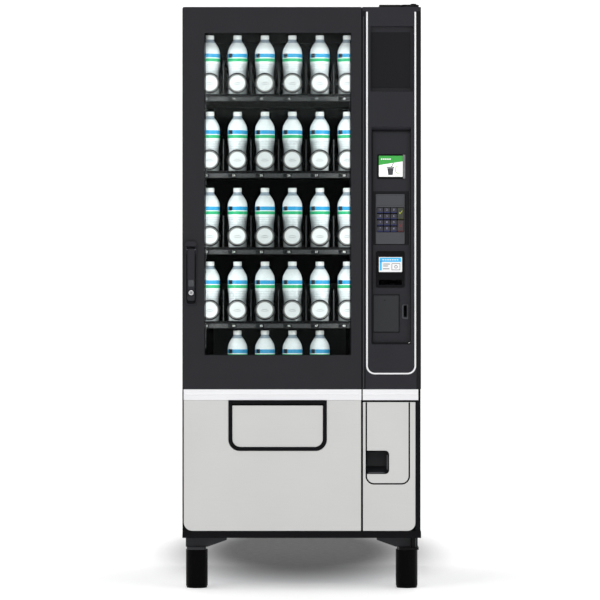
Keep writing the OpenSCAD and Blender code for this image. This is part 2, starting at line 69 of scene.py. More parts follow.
GLASS = box("window_glass")
WINDOW_X = (GLASS[0].x + 5.6, GLASS[1].x - 5.4)
WINDOW_Z = (GLASS[0].z + 6, GLASS[1].z - 5)
FASCIA = box("window_fascia")
DOOR_Y = FASCIA[0].y
COLUMN = box("control_fascia")
PANELS = box("lower_panels")
KEYPAD = box("keypad_plate")
RECESS_Y = KEYPAD[1].y + 0.1
COVER_Y = RECESS_Y - 0.05
BELT_Z = (PANELS[1].z - 34, PANELS[1].z)
SEAM_X = (FASCIA[1].x, COLUMN[0].x)
RIGHT_PANEL_X = (COLUMN[0].x + 1.7, 357)
FLAP = box("delivery_flap")
CUP = box("coin_return_cup")
LEVER = box("handle_lever")
HANDLE = box("handle_base")
SCREEN = box("display_screen")
VALIDATOR = box("bill_validator")
LOCK = box("lock_cylinder")
REAR_Y = box("rear_panel")[1].y - 5
ROWS = range(1, 6)
TRAYS = {row: box(f"tray_{row}") for row in ROWS}
TRAY_FLOOR = {row: TRAYS[row][1].z - 104 for row in ROWS}
TRAY_FRONT = TRAYS[1][0].y
LOADED = {row: range(6) if row < 5 else range(1, 5) for row in ROWS}
BOTTLE_R, LABEL_R = 32, 31.8
BOTTLE_Y = box("bottles_1")[0].y + BOTTLE_R
FIRST_COLUMN = box("bottles_1")[0].x + BOTTLE_R
COLUMN_PITCH = 88
COIL_R, RING_R, WIRE_R = 33.5, 31, 2
COIL_AXIS = 38.5
RING_Y = TRAY_FRONT + 10

# ---------------- materials

# the range that most of a noise's values lie in
NOISE_LOW, NOISE_HIGH = 0.3, 0.7


def new_material(name):
    mat = bpy.data.materials.new(name)
    mat.use_nodes = True
    nodes = mat.node_tree.nodes
    return mat, nodes, mat.node_tree.links, nodes["Principled BSDF"]


def set_inputs(node, **values):
    for key, value in values.items():
        node.inputs[key.replace("_", " ")].default_value = value


def coordinates(nodes, links, scale):
    place = nodes.new("ShaderNodeTexCoord")
    mapping = nodes.new("ShaderNodeMapping")
    set_inputs(mapping, Scale=scale)
    links.new(place.outputs["Object"], mapping.inputs["Vector"])
    return mapping.outputs["Vector"]


def noise(nodes, links, vector, scale, detail=4.0, rough=0.5):
    node = nodes.new("ShaderNodeTexNoise")
    set_inputs(node, Scale=scale, Detail=detail, Roughness=rough)
    links.new(vector, node.inputs["Vector"])
    return node.outputs["Fac"]


def ranged(nodes, links, value, low, high):
    """A noise's value, taken to the range low to high."""
    node = nodes.new("ShaderNodeMapRange")
    set_inputs(node, From_Min=NOISE_LOW, From_Max=NOISE_HIGH, To_Min=low, To_Max=high)
    links.new(value, node.inputs["Value"])
    return node.outputs["Result"]


def tinted(nodes, links, value, colour, spread):
    """Colour that varies by spread around itself as value goes from 0 to 1."""
    ramp = nodes.new("ShaderNodeValToRGB")
    ramp.color_ramp.elements[0].position = NOISE_LOW
    ramp.color_ramp.elements[1].position = NOISE_HIGH
    for element, share in zip(ramp.color_ramp.elements, (1 - spread, 1 + spread)):
        element.color = [min(c * share, 1) for c in colour] + [1]
    links.new(value, ramp.inputs["Fac"])
    return ramp.outputs["Color"]


def bumped(nodes, links, shader, height, strength, distance, edge=0.0):
    """Relief distance deep, on edges that look rounded by a radius of edge, both in millimetres."""
    bump = nodes.new("ShaderNodeBump")
    set_inputs(bump, Strength=strength, Distance=distance * MM)
    links.new(height, bump.inputs["Height"])
    if edge:
        bevel = nodes.new("ShaderNodeBevel")
        bevel.samples = 4
        set_inputs(bevel, Radius=edge * MM)
        links.new(bevel.outputs["Normal"], bump.inputs["Normal"])
    links.new(bump.outputs["Normal"], shader.inputs["Normal"])


def surface(name, colour, rough, metallic=0.0, spread=0.12, patch=9, grain=700, bump=0.25,
            depth=0.12, edge=0.0, stretch=(1, 1, 1), rough_spread=0.08, spec=0.3, **extra):
    """Painted, moulded or metal surface: broad colour variation, fine grain in colour, gloss and relief."""
    mat, nodes, links, shader = new_material(name)
    even = coordinates(nodes, links, (1, 1, 1))
    grained = coordinates(nodes, links, stretch)
    broad = noise(nodes, links, even, patch, 3)
    fine = noise(nodes, links, grained, grain, 3, 0.6)
    mixed = nodes.new("ShaderNodeMix")
    mixed.inputs["Factor"].default_value = 0.5
    links.new(broad, mixed.inputs["A"])
    links.new(fine, mixed.inputs["B"])
    links.new(tinted(nodes, links, mixed.outputs["Result"], colour, spread), shader.inputs["Base Color"])
    links.new(ranged(nodes, links, mixed.outputs["Result"], rough - rough_spread, rough + rough_spread),
              shader.inputs["Roughness"])
    bumped(nodes, links, shader, fine, bump, depth, edge)
    set_inputs(shader, Metallic=metallic, Specular_IOR_Level=spec, **extra)
    return mat


def glowing(name, colour, strength, grain=60):
    """Lit diffuser or display ink: a surface that also gives light, a little uneven."""
    mat, nodes, links, shader = new_material(name)
    value = noise(nodes, links, coordinates(nodes, links, (1, 1, 1)), grain, 2)
    colours = tinted(nodes, links, value, colour, 0.03)
    links.new(colours, shader.inputs["Base Color"])
    links.new(colours, shader.inputs["Emission Color"])
    set_inputs(shader, Emission_Strength=strength, Roughness=0.25)
    return mat


def clear_glass():
    """Window pane: lets nearly everything through and mirrors a little, more at a slant."""
    mat, nodes, links, shader = new_material("clear_glass")
    nodes.remove(shader)
    mirror = nodes.new("ShaderNodeBsdfGlossy")
    set_inputs(mirror, Color=(0.86, 0.92, 0.93, 1))
    value = noise(nodes, links, coordinates(nodes, links, (1, 1, 1)), 3, 2)
    links.new(ranged(nodes, links, value, 0.01, 0.04), mirror.inputs["Roughness"])
    through = nodes.new("ShaderNodeBsdfTransparent")
    set_inputs(through, Color=(0.97, 0.985, 0.98, 1))
    slant = nodes.new("ShaderNodeLayerWeight")
    set_inputs(slant, Blend=0.12)
    share = nodes.new("ShaderNodeMapRange")
    set_inputs(share, To_Min=0.0, To_Max=0.4)
    links.new(slant.outputs["Fresnel"], share.inputs["Value"])
    mix = nodes.new("ShaderNodeMixShader")
    links.new(share.outputs["Result"], mix.inputs["Fac"])
    links.new(through.outputs["BSDF"], mix.inputs[1])
    links.new(mirror.outputs["BSDF"], mix.inputs[2])
    links.new(mix.outputs["Shader"], nodes["Material Output"].inputs["Surface"])
    return mat


EDGE = 0.9
MATS = {
    "charcoal": surface("charcoal_paint", (0.02, 0.02, 0.0235), 0.55, grain=900, edge=EDGE, spec=0.12),
    "black_paint": surface("black_paint", (0.0015, 0.0015, 0.0018), 0.25, grain=900, bump=0.1, edge=EDGE,
                           spec=0.1),
    "leg_black": surface("leg_paint", (0.0008, 0.0008, 0.001), 0.35, grain=900, bump=0.1, edge=EDGE,
                         spec=0.04),
    "column": surface("column_plastic", (0.019, 0.019, 0.0235), 0.5, grain=1400, bump=0.3, edge=1.6,
                      spec=0.15),
    "black": surface("black_plastic", (0.0035, 0.0035, 0.0045), 0.4, grain=1400, edge=EDGE, spec=0.07),
    "shadow": surface("shadow_black", (0.0012, 0.0012, 0.0018), 0.6, grain=1400, spec=0.02),
    "edging": surface("edge_plastic", (0.008, 0.008, 0.010), 0.45, grain=1400, spec=0.1),
    "cover": surface("cover_plastic", (0.022, 0.023, 0.026), 0.42, grain=1400, edge=EDGE, spec=0.2),
    "grey": surface("grey_plastic", (0.048, 0.050, 0.056), 0.44, grain=1400, edge=0.5),
    "key": surface("key_plastic", (0.030, 0.030, 0.038), 0.38, grain=1600, edge=0.5),
    "key_yellow": surface("key_yellow_plastic", (0.040, 0.044, 0.030), 0.38, grain=1600),
    "key_red": surface("key_red_plastic", (0.044, 0.032, 0.034), 0.38, grain=1600),
    "brushed": surface("brushed_steel", (0.575, 0.575, 0.565), 0.5, metallic=0.35, spread=0.035, patch=5,
                       grain=260, stretch=(0.05, 1, 5), bump=0.10, depth=0.06, rough_spread=0.05),
    "bright": surface("bright_aluminium", (0.80, 0.80, 0.82), 0.35, metallic=0.2, spread=0.02,
                      grain=400, stretch=(0.05, 1, 4), bump=0.05, depth=0.04, rough_spread=0.04),
    "galvanised": surface("galvanised_steel", (0.42, 0.43, 0.45), 0.45, metallic=0.85, spread=0.22,
                          patch=45, grain=160, bump=0.1),
    "liner": surface("liner_black", (0.0012, 0.0012, 0.0016), 0.6, grain=500, spec=0.05),
    "tray": surface("tray_black", (0.0025, 0.0025, 0.003), 0.5, grain=900, edge=0.6, spec=0.08),
    "divider_edge": surface("divider_edge", (0.014, 0.014, 0.016), 0.3, grain=600, spec=0.4),
    "wire": surface("coil_wire", (0.02, 0.02, 0.023), 0.30, metallic=0.3, spread=0.1, grain=500,
                    bump=0.05),
    "rail_tag": surface("price_rail", (0.040, 0.040, 0.042), 0.4, spread=0.85, patch=260, grain=110,
                        stretch=(1, 1, 2), spec=0.15),
    "tag_dark": surface("number_tag", (0.006, 0.006, 0.007), 0.4, grain=800, spec=0.1),
    "number": surface("number_ink", (0.80, 0.80, 0.78), 0.4, spread=0.03, spec=0.1),
    "disc": surface("pusher_disc", (0.60, 0.61, 0.62), 0.4, spread=0.03, grain=400, bump=0.05, spec=0.2),
    "disc_rim": surface("pusher_rim", (0.16, 0.155, 0.15), 0.35, spread=0.15, grain=400),
    "disc_line": surface("pusher_line", (0.20, 0.21, 0.23), 0.4, spread=0.05),
    "pet": surface("bottle_pet", (0.80, 0.83, 0.85), 0.15, spread=0.07, patch=60, grain=180, bump=0.2,
                   depth=0.4, rough_spread=0.04, Transmission_Weight=0.12, IOR=1.33),
    # darker grey of the bottles' rib grooves: painted shade in the grooves
    "pet_groove_shade": surface("bottle_groove_shade", (0.58, 0.61, 0.64), 0.15, spread=0.1, patch=60, grain=180),
    "pet_neck": surface("bottle_neck", (0.42, 0.50, 0.58), 0.12, spread=0.25, patch=200, grain=220, bump=0.2,
                        depth=0.4, rough_spread=0.04, Transmission_Weight=0.3, IOR=1.33),
    "cap": surface("bottle_cap", (0.78, 0.78, 0.78), 0.35, spread=0.02, grain=600),
    "label_white": surface("label_white", (0.84, 0.85, 0.86), 0.3, spread=0.02),
    "label_blue": surface("label_blue", (0.025, 0.29, 0.55), 0.3, spread=0.12, patch=150, grain=400),
    "label_mark": surface("label_mark", (0.012, 0.014, 0.02), 0.3, spread=0.3, patch=400, grain=900),
    "label_green": surface("label_green", (0.02, 0.38, 0.16), 0.3, spread=0.12, patch=150, grain=400),
    "rubber": surface("gasket_rubber", (0.008, 0.008, 0.009), 0.7, grain=800, spec=0.2),
    "chrome": surface("lock_chrome", (0.72, 0.72, 0.74), 0.14, metallic=1.0, spread=0.05, grain=300,
                      bump=0.03, rough_spread=0.04),
    "copper": surface("copper_pipe", (0.62, 0.30, 0.18), 0.3, metallic=1.0, spread=0.15, patch=30),
    "fins": surface("heat_fins", (0.62, 0.63, 0.65), 0.35, metallic=0.9, spread=0.1),
    # grey textured strip right of the screen: a painted highlight on the bezel's side
    "bezel_side_highlight": surface("bezel_side_highlight", (0.16, 0.16, 0.17), 0.4, spread=0.3, patch=90, grain=300),
    "ink_navy": surface("ink_navy", (0.010, 0.014, 0.085), 0.35, spread=0.1),
    "led": glowing("led_diffuser", (0.93, 0.96, 1.0), 2.0),
    "screen_white": glowing("screen_white", (0.90, 0.92, 0.90), 0.25),
    "screen_green": glowing("screen_green", (0.02, 0.34, 0.035), 0.12),
    "screen_pale": glowing("screen_pale", (0.42, 0.60, 0.25), 0.0),
    "screen_dark": glowing("screen_dark", (0.03, 0.035, 0.04), 0.0),
    "screen_blue": glowing("screen_blue", (0.03, 0.40, 0.74), 0.2),
    "glass": clear_glass(),
}
INKS = {
    "ink_lavender": (0.27, 0.27, 0.44),
    "ink_yellow": (0.40, 0.45, 0.03),
    "ink_olive": (0.035, 0.04, 0.008),
    "ink_red": (0.20, 0.02, 0.025),
    "ink_wine": (0.07, 0.004, 0.006),
}
MATS.update({name: surface(name, colour, 0.4, spread=0.05) for name, colour in INKS.items()})

# ---------------- mesh helpers


def new_object(name, data):
    obj = bpy.data.objects.new(name, data)
    bpy.context.scene.collection.objects.link(obj)
    return obj


def link(name, mesh, mats, body, replaced=(), smooth=None):
    """An object for the mesh, riding on body and the CAD nodes it stands for."""
    obj = new_object(name, mesh)
    for mat in mats:
        mesh.materials.append(MATS[mat])
    if smooth is not None:
        mesh.shade_smooth()
        mesh.set_sharp_from_angle(angle=math.radians(smooth))
    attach(obj, body)
    if replaced:
        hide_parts(*replaced)


def at(outline, y):
    """An outline of (x, z) points at a depth."""
    return [(x, y, z) for x, z in outline]


class Build:
    """Collects faces of several shapes, each with a material index, into one mesh."""

    def __init__(self):
        self.bm = bmesh.new()

    def vert(self, point):
        return self.bm.verts.new(Vector(point) * MM)

    def face(self, verts, mat=0):
        self.bm.faces.new(verts).material_index = mat

    def add(self, points, faces, mat=0):
        verts = [self.vert(p) for p in points]
        for face in faces:
            self.face([verts[i] for i in face], mat)
        return verts

    def box(self, low, high, mat=0, bevel=0.0):
        """Box between two corners, with rounded edges where bevel is more than 0."""
        (x0, y0, z0), (x1, y1, z1) = low, high
        points = [(x, y, z) for z in (z0, z1) for y in (y0, y1) for x in (x0, x1)]
        faces = [(0, 2, 3, 1), (4, 5, 7, 6), (0, 1, 5, 4), (2, 6, 7, 3), (0, 4, 6, 2), (1, 3, 7, 5)]
        verts = self.add(points, faces, mat)
        if bevel:
            edges = {e for v in verts for e in v.link_edges}
            bmesh.ops.bevel(self.bm, geom=list(edges), offset=bevel * MM, segments=2, profile=0.5,
                            affect="EDGES", clamp_overlap=True, material=-1)

    def loft(self, sections, mat=0, closed=False):
        """Bar through sections of as many points each: closed on itself, or with two end faces."""
        rows = [[self.vert(p) for p in section] for section in sections]
        for first, second in zip(rows, rows[1:] + rows[:1] if closed else rows[1:]):
            for k in range(len(first)):
                q = (k + 1) % len(first)
                self.face((first[k], first[q], second[q], second[k]), mat)
        if not closed:
            self.face(rows[0][::-1], mat)
            self.face(rows[-1], mat)

    def prism(self, outline, y0, y1, mat=0, bevel=0.0):
        """Outline, anticlockwise seen from the front, between y0 (front) and y1, bevelled in front."""
        self.loft([at(outline, y1), at(outline, y0 + bevel), at(offset_outline(outline, bevel), y0)], mat)

    def ring(self, outer, inner, y0, y1, mat=0, bevel=0.0):
        """Plate with a hole: both outlines have the same number of points."""
        loops = [at(outer, y1), at(outer, y0 + bevel), at(offset_outline(outer, bevel), y0),
                 at(offset_outline(inner, -bevel), y0), at(inner, y0 + bevel), at(inner, y1)]
        self.loft(list(zip(*loops)), mat, closed=True)

    def u_band(self, outer, inner, section, mat=0):
        """Bar along two U outlines: section lists (share of the way across, y) for each of its corners."""
        sections = []
        for a, b in zip(outer, inner):
            across = [(Vector(a).lerp(Vector(b), share), y) for share, y in section]
            sections.append([(p.x, y, p.y) for p, y in across])
        self.loft(sections, mat)

    def lathe(self, profile, centre, axis="z", steps=32, mats=None):
        """Profile of (radius, height) turned about an axis through centre."""
        rows = []
        for r, h in profile:
            angles = [2 * math.pi * k / steps for k in range(steps if r else 1)]
            rows.append([self.vert(turned(r, h, angle, centre, axis)) for angle in angles])
        for index, (a, b) in enumerate(zip(rows, rows[1:])):
            for k in range(steps):
                q = (k + 1) % steps
                corners = [a[k % len(a)], a[q % len(a)], b[q % len(b)], b[k % len(b)]]
                corners = list(dict.fromkeys(corners))
                if len(corners) > 2:
                    self.face(corners[::-1] if axis == "y" else corners, mats[index] if mats else 0)

    def tube(self, path, radius, sides=8, mat=0):
        """Round bar along a list of points."""
        rings, normal = [], None
        for before, point, after in zip(path[:1] + path, path, path[1:] + path[-1:]):
            tangent = (after - before).normalized()
            normal = normal or tangent.orthogonal().normalized()
            normal = (normal - tangent * normal.dot(tangent)).normalized()
            side = tangent.cross(normal)
            rings.append([point + radius * (math.cos(t) * normal + math.sin(t) * side)
                          for t in (2 * math.pi * k / sides for k in range(sides))])
        self.loft(rings, mat)

    def piece(self, name, mats, body, replaced=(), smooth=30):
        """The mesh as one visible piece."""
        bmesh.ops.recalc_face_normals(self.bm, faces=self.bm.faces)
        mesh = bpy.data.meshes.new(name)
        self.bm.to_mesh(mesh)
        self.bm.free()
        link(name, mesh, mats, body, replaced, smooth)


def turned(r, h, angle, centre, axis):
    """The point at radius r, height h and angle about an axis through centre."""
    a, b = r * math.cos(angle), r * math.sin(angle)
    local = {"z": (a, b, h), "y": (a, h, b), "x": (h, a, b)}[axis]
    return Vector(centre) + Vector(local)


def offset_outline(outline, inset):
    """The outline moved inwards, by each corner's own bisector."""
    if not inset:
        return outline
    out = []
    corners = [Vector(corner) for corner in outline]
    for before, point, after in zip(corners[-1:] + corners, corners, corners[1:] + corners[:1]):
        d0, d1 = (point - before).normalized(), (after - point).normalized()
        n0, n1 = Vector((-d0.y, d0.x)), Vector((-d1.y, d1.x))
        both = (n0 + n1).normalized()
        out.append(tuple(point + both * (inset / max(both.dot(n0), 0.4))))
    return out


def rounded(x0, x1, z0, z1, radii, steps=8):
    """Rectangle outline with one radius, or four: low left, low right, high right, high left."""
    corners = [(x0, z0, 1, 1, 180), (x1, z0, -1, 1, 270), (x1, z1, -1, -1, 0), (x0, z1, 1, -1, 90)]
    out = []
    for (x, z, sx, sz, start), r in zip(corners, radii if isinstance(radii, list) else [radii] * 4):
        for k in range(steps + 1):
            angle = math.radians(start + 90 * k / steps)
            out.append((x + sx * r + r * math.cos(angle), z + sz * r + r * math.sin(angle)))
    return out


def open_u(x0, x1, z0, top, r, steps=10):
    """U outline with round lower corners, from its top left down, across and up to its top right."""
    return [(x0, top)] + rounded(x0, x1, z0, top, [r, r, 0, 0], steps)[:2 * steps + 2] + [(x1, top)]


def circle_outline(x, z, r, count):
    """Circle whose points line up with a rounded rectangle's, which starts at its left."""
    angles = [math.pi + 2 * math.pi * k / count for k in range(count)]
    return [(x + r * math.cos(a), z + r * math.sin(a)) for a in angles]


def shifted(points, x, z):
    return [(x + dx, z + dz) for dx, dz in points]


def column_x(i):
    return FIRST_COLUMN + i * COLUMN_PITCH


def lettering(items, mat, body, name):
    """Small flat generic digits that face the front, each (text, x, y, z, size), as one piece."""
    joined = bmesh.new()
    for text, x, y, z, size in items:
        curve = bpy.data.curves.new(name, "FONT")
        curve.body = text
        curve.size = size * MM
        curve.align_x = "CENTER"
        curve.align_y = "CENTER"
        curve.extrude = 0.08 * MM
        curve.resolution_u = 3
        obj = new_object(name, curve)
        obj.rotation_euler = (math.pi / 2, 0, 0)
        obj.location = Vector((x, y, z)) * MM
        bpy.context.view_layer.update()
        mesh = bpy.data.meshes.new_from_object(obj)
        mesh.transform(obj.matrix_world)
        joined.from_mesh(mesh)
        bpy.data.objects.remove(obj)
    mesh = bpy.data.meshes.new(name)
    joined.to_mesh(mesh)
    joined.free()
    link(name, mesh, [mat], body)


# ---------------- products and coils


def bottle_profile():
    """Radius and height of the bottle from its foot up, with the material of each stretch."""
    points = [(0, 4), (18, 3), (25, 0.3), (28, 1.5), (29.8, 6), (29.8, 16), (28.6, 40), (28.2, 60)]
    mats = [0] * 7
    ribs, rib_pitch = 7, 5.6
    for k in range(ribs):
        height = 62 + rib_pitch * k
        radius = 28.2 + 3.4 * (k / (ribs - 1)) ** 1.3
        groove = radius - 0.7
        points += [(radius, height), (groove, height + 1.2), (groove, height + 2.2), (radius, height + 3.4)]
        # the groove faces take material 5, a darker grey that is painted shade
        mats += [0, 5, 5, 5]
    points += [(LABEL_R, height) for height in (106, 107.5, 117.8, 120.5, 133)] + [(31.7, 134.5)]
    mats += [0, 2, 4, 2, 3, 2]
    points += [(31.4, 139), (30.5, 144.5), (28.6, 150.5), (25.6, 156.5), (22.0, 162.5), (18.4, 168),
               (15.2, 173), (13.0, 177), (12.4, 179.4)]
    mats += [0] * 6 + [6] * 3
    points += [(13.1, 179.5), (13.4, 181), (13.4, 191.3), (12.8, 192.6), (0, 192.9)]
    mats += [1] * 5
    return points, mats


def make_bottles(row):
    """The row's bottles, each with a plain dark mark on the blue band."""
    profile, mats = bottle_profile()
    build = Build()
    for i in LOADED[row]:
        centre = (column_x(i), BOTTLE_Y, TRAY_FLOOR[row] + 0.3)
        build.lathe(profile, centre, steps=40, mats=mats)
        lower, upper = ([build.vert(turned(LABEL_R + 0.1, height, math.radians(angle), centre, "z"))
                         for angle in range(212, 241, 7)] for height in (119.8, 133.6))
        for k in range(len(lower) - 1):
            build.face((lower[k], lower[k + 1], upper[k + 1], upper[k]), 7)
    build.piece(f"water_bottles_{row}", ["pet", "cap", "label_white", "label_blue", "label_green", "pet_groove_shade",
                                         "pet_neck", "label_mark"],
                f"tray_{row}", [f"bottles_{row}"], smooth=35)


def coil_path(x, z, back_y):
    """Front ring, straight side past the first bottle, turns, and a spoke to the hub."""
    helix_y = BOTTLE_Y + 38
    turns, ring_steps, turn_steps = 6, 30, 20
    helix_steps = turns * turn_steps + turn_steps * 3 // 4
    path = []
    for k in range(ring_steps):
        angle = math.pi + 2 * math.pi * k / ring_steps
        path.append(Vector((x + RING_R * math.cos(angle), RING_Y, z + RING_R * math.sin(angle))))
    side_x = x - (RING_R + COIL_R) / 2 - 0.6
    for share in (0.1, 0.5, 0.9):
        path.append(Vector((side_x, RING_Y + share * (helix_y - RING_Y), z)))
    for k in range(helix_steps + 1):
        angle = math.pi - 2 * math.pi * k / turn_steps
        y = helix_y + (back_y - helix_y) * k / helix_steps
        path.append(Vector((x + COIL_R * math.cos(angle), y, z + COIL_R * math.sin(angle))))
    end = path[-1]
    path.append(Vector((x + 0.3 * (end.x - x), back_y + 1, z + 0.3 * (end.z - z))))
    path.append(Vector((x, back_y + 2, z)))
    return path


def make_coils(name, row, indexes, body, replaced):
    """Coils with a hub at the back and a white disc with two curved lines in the front ring."""
    build = Build()
    back_y = box(replaced)[1].y - 12
    z = TRAY_FLOOR[row] + COIL_AXIS
    hub = [(0, 0), (4.4, 0), (4.9, 0.6), (4.9, 11), (0, 11)]
    disc = [(0, 0.9), (24.8, 0.9), (25.4, 0.5), (28.2, -0.4), (28.6, 0.3), (28.6, 1.9), (0, 1.9)]
    for i in indexes:
        x = column_x(i)
        build.tube(coil_path(x, z, back_y), WIRE_R)
        build.lathe(hub, (x, back_y, z), "y", 16)
        build.lathe(disc, (x, RING_Y - 1.2, z), "y", 40, [1, 3, 3, 3, 1, 1])
        for reach, height, sag in ((8, 2.0, 0.8), (12, -2.4, 2.0)):
            line = [Vector((x + t * reach, RING_Y - 0.5, z + height - sag * (1 - t * t)))
                    for t in (-1 + k / 6 for k in range(13))]
            build.tube(line, 0.55, 6, 2)
    build.piece(name, ["wire", "disc", "disc_line", "disc_rim"], body, [replaced], smooth=40)


def make_tray_details(row):
    """Price rail with number tags, bright divider edges and the coil motors' screws."""
    low, high = TRAYS[row]
    floor = TRAY_FLOOR[row]
    build = Build()
    y = TRAY_FRONT - 0.9
    x0, x1 = low.x + 1, high.x - 1
    rail_z = (floor - 20.5, floor - 5)
    tag_offset = -11
    build.box((x0, y, rail_z[0]), (x1, TRAY_FRONT + 0.3, rail_z[1]), 0, 0.4)
    for z in (rail_z[0] - 0.3, rail_z[1] - 0.6):
        build.box((x0, y - 0.6, z), (x1, y + 0.5, z + 1.2), 1, 0.3)
    for i in range(6):
        x = column_x(i) + tag_offset
        build.box((x - 18, y - 0.5, rail_z[0] + 2), (x + 9, y, rail_z[1] - 2), 2, 0.2)
    for i in range(1, 6):
        x = column_x(i) - COLUMN_PITCH / 2
        build.box((x - 1.6, TRAY_FRONT + 3.2, floor + 1), (x + 1.6, TRAY_FRONT + 6, floor + 103.4), 3, 0.8)
    motor_screw = [(0, -2), (3, -2), (3.6, -1.4), (3.6, 0)]
    for i in range(6):
        for height in (20, 52):
            build.lathe(motor_screw, (column_x(i) + 18, high.y - 18.1, floor + height), "y", 12, [4] * 3)
    build.piece(f"tray_front_{row}", ["rail_tag", "tray", "tag_dark", "divider_edge", "galvanised"],
                f"tray_{row}")
    numbers = [(f"{row}{i + 3}", column_x(i) + tag_offset, y - 0.62, sum(rail_z) / 2, 9.5) for i in range(6)]
    lettering(numbers, "number", f"tray_{row}", f"selection_numbers_{row}")


for tray_row in ROWS:
    make_bottles(tray_row)
    make_coils(f"spirals_{tray_row}", tray_row, LOADED[tray_row], f"tray_{tray_row}", f"coils_{tray_row}")
    make_tray_details(tray_row)
make_coils("spiral_empty_left", 5, [0], "coil_left", "coil_5_left")
make_coils("spiral_empty_right", 5, [5], "coil_right", "coil_5_right")

# ---------------- door


def window_outline(grow, radii=1):
    """The window's outline, grown outwards or, below 0, inwards."""
    return rounded(WINDOW_X[0] - grow, WINDOW_X[1] + grow, WINDOW_Z[0] - grow, WINDOW_Z[1] + grow, radii, 4)


def make_window_surround():
    build = Build()
    low, high = FASCIA
    outer = rounded(low.x, high.x, low.z, high.z, [1, 1, 1, 6], 4)
    build.ring(outer, window_outline(0, 1.2), low.y, high.y, 0, 0.8)
    build.ring(window_outline(4), window_outline(-1), high.y + 0.1, high.y + 2.6, 1, 0.3)
    build.piece("window_surround", ["charcoal", "black"], "door", ["window_fascia"])


def crossbar(build, x0, x1):
    """Extruded bar: rounded bright upper band, groove, flat lower band."""
    z0, z1 = BELT_Z
    section = [(3, z0), (0.4, z0), (-0.2, z0 + 0.6), (-0.2, z0 + 15), (0.6, z0 + 15.8), (0.6, z0 + 17),
               (-0.7, z0 + 17.8), (-1.4, z0 + 21), (-1.4, z1 - 3.4), (-0.9, z1 - 1.1), (0.2, z1), (3, z1)]
    build.loft([[(x, DOOR_Y + y, z) for y, z in section] for x in (x0, x1)])


def make_bright_trim():
    """Crossbars, the bright U round the control column's upper part and a thin light line at its left, a
    painted highlight along the seam.
    """
    low, high = box("bright_trim")
    build = Build()
    crossbar(build, low.x, SEAM_X[0] - 0.2)
    crossbar(build, COLUMN[0].x + 1, high.x)
    left, right, bottom, top = 202.2, 359.2, 674.5, high.z
    width_left, width_right, bar, r = 5.4, 5.2, 4.8, 27
    y0, y1, soft = DOOR_Y - 1, DOOR_Y - 0.05, 0.22
    section = [(0, y1), (soft * 0.4, y0 + 0.25), (soft, y0), (1 - soft, y0), (1 - soft * 0.4, y0 + 0.25),
               (1, y1)]
    build.u_band(open_u(left, right, bottom, top, r),
                 open_u(left + width_left, right - width_right, bottom + bar, top, r - bar), section)
    # painted highlight: a thin grey line along the seam at the column's left
    seam_highlight_x, seam_highlight_top = 193.2, 1798
    build.box((seam_highlight_x, DOOR_Y - 0.5, BELT_Z[1] + 3), (seam_highlight_x + 2, DOOR_Y - 0.05, seam_highlight_top), 1, 0.2)
    build.piece("bright_trim_u", ["bright", "grey"], "door", ["bright_trim"], smooth=35)


def make_lower_panels():
    """Brushed panels with true cut-outs, on black edges."""
    build = Build()
    low, high = PANELS
    y0, y1 = low.y, high.y
    z0, z1 = 183, BELT_Z[0] - 0.4
    notch_x0, notch_x1, notch_z = -230.2, 78.5, 434.2
    panel_r, notch_r, soft = 27, 35, 0.6
    outline = rounded(low.x + 4.3, SEAM_X[0] - 1.4, z0, z1, [panel_r, 1.5, 1.5, 1.5])
    notch = open_u(notch_x0, notch_x1, notch_z, z1, notch_r, 8)
    # the outline runs round to the top right corner, then down into the notch and up again to the top left
    corner = 3 * len(outline) // 4
    build.prism(outline[:corner] + notch[::-1] + outline[corner:], y0, y1, 0, soft)
    cup = rounded(CUP[0].x - 0.3, CUP[1].x + 0.3, CUP[0].z - 0.3, CUP[1].z + 0.3, [1, 12, 12, 1])
    build.ring(rounded(*RIGHT_PANEL_X, z0, z1 - 5.8, [1.5, 25, 1.5, 1.5]), cup, y0, y1, 0, soft)
    # dark seams beside and above the right panel, then the base and the edges
    build.box((RIGHT_PANEL_X[0], y0 + 0.4, z1 - 5.6), (RIGHT_PANEL_X[1] + 0.4, y1, z1), 2, 0.3)
    build.box((SEAM_X[0] - 1.3, y0 + 1.5, z0), (RIGHT_PANEL_X[0] - 0.1, y1, BELT_Z[0]), 2, 0.2)
    build.box((low.x, y1 - 0.9, low.z), (high.x, y1, z0 - 0.2), 1, 0.3)
    edges = [(low.x, low.x + 3.6, z0, BELT_Z[1]), (RIGHT_PANEL_X[1] + 0.6, high.x - 2, z0, z1),
             (366.4, high.x - 2, z1 + 0.3, BELT_Z[1])]
    for x0, x1, bottom, top in edges:
        build.box((x0, y0 + 0.3, bottom), (x1, y1, top), 1, 0.8)
    build.piece("brushed_panels", ["brushed", "black", "shadow"], "door", ["lower_panels"])


def make_access_line():
    """Dark U groove line round the coin cup's access door."""
    build = Build()
    x0, x1, bottom, top = 200.1, 340.3, 328, 586.6
    w, r = 5.2, 27
    y0, y1 = DOOR_Y - 0.2, DOOR_Y + 0.2
    build.u_band(open_u(x0, x1, bottom, top, r), open_u(x0 + w, x1 - w, bottom + w, top, r - w),
                 [(0, y1), (0.08, y0), (0.92, y0), (1, y1)])
    build.piece("access_door_line", ["shadow"], "door", smooth=None)


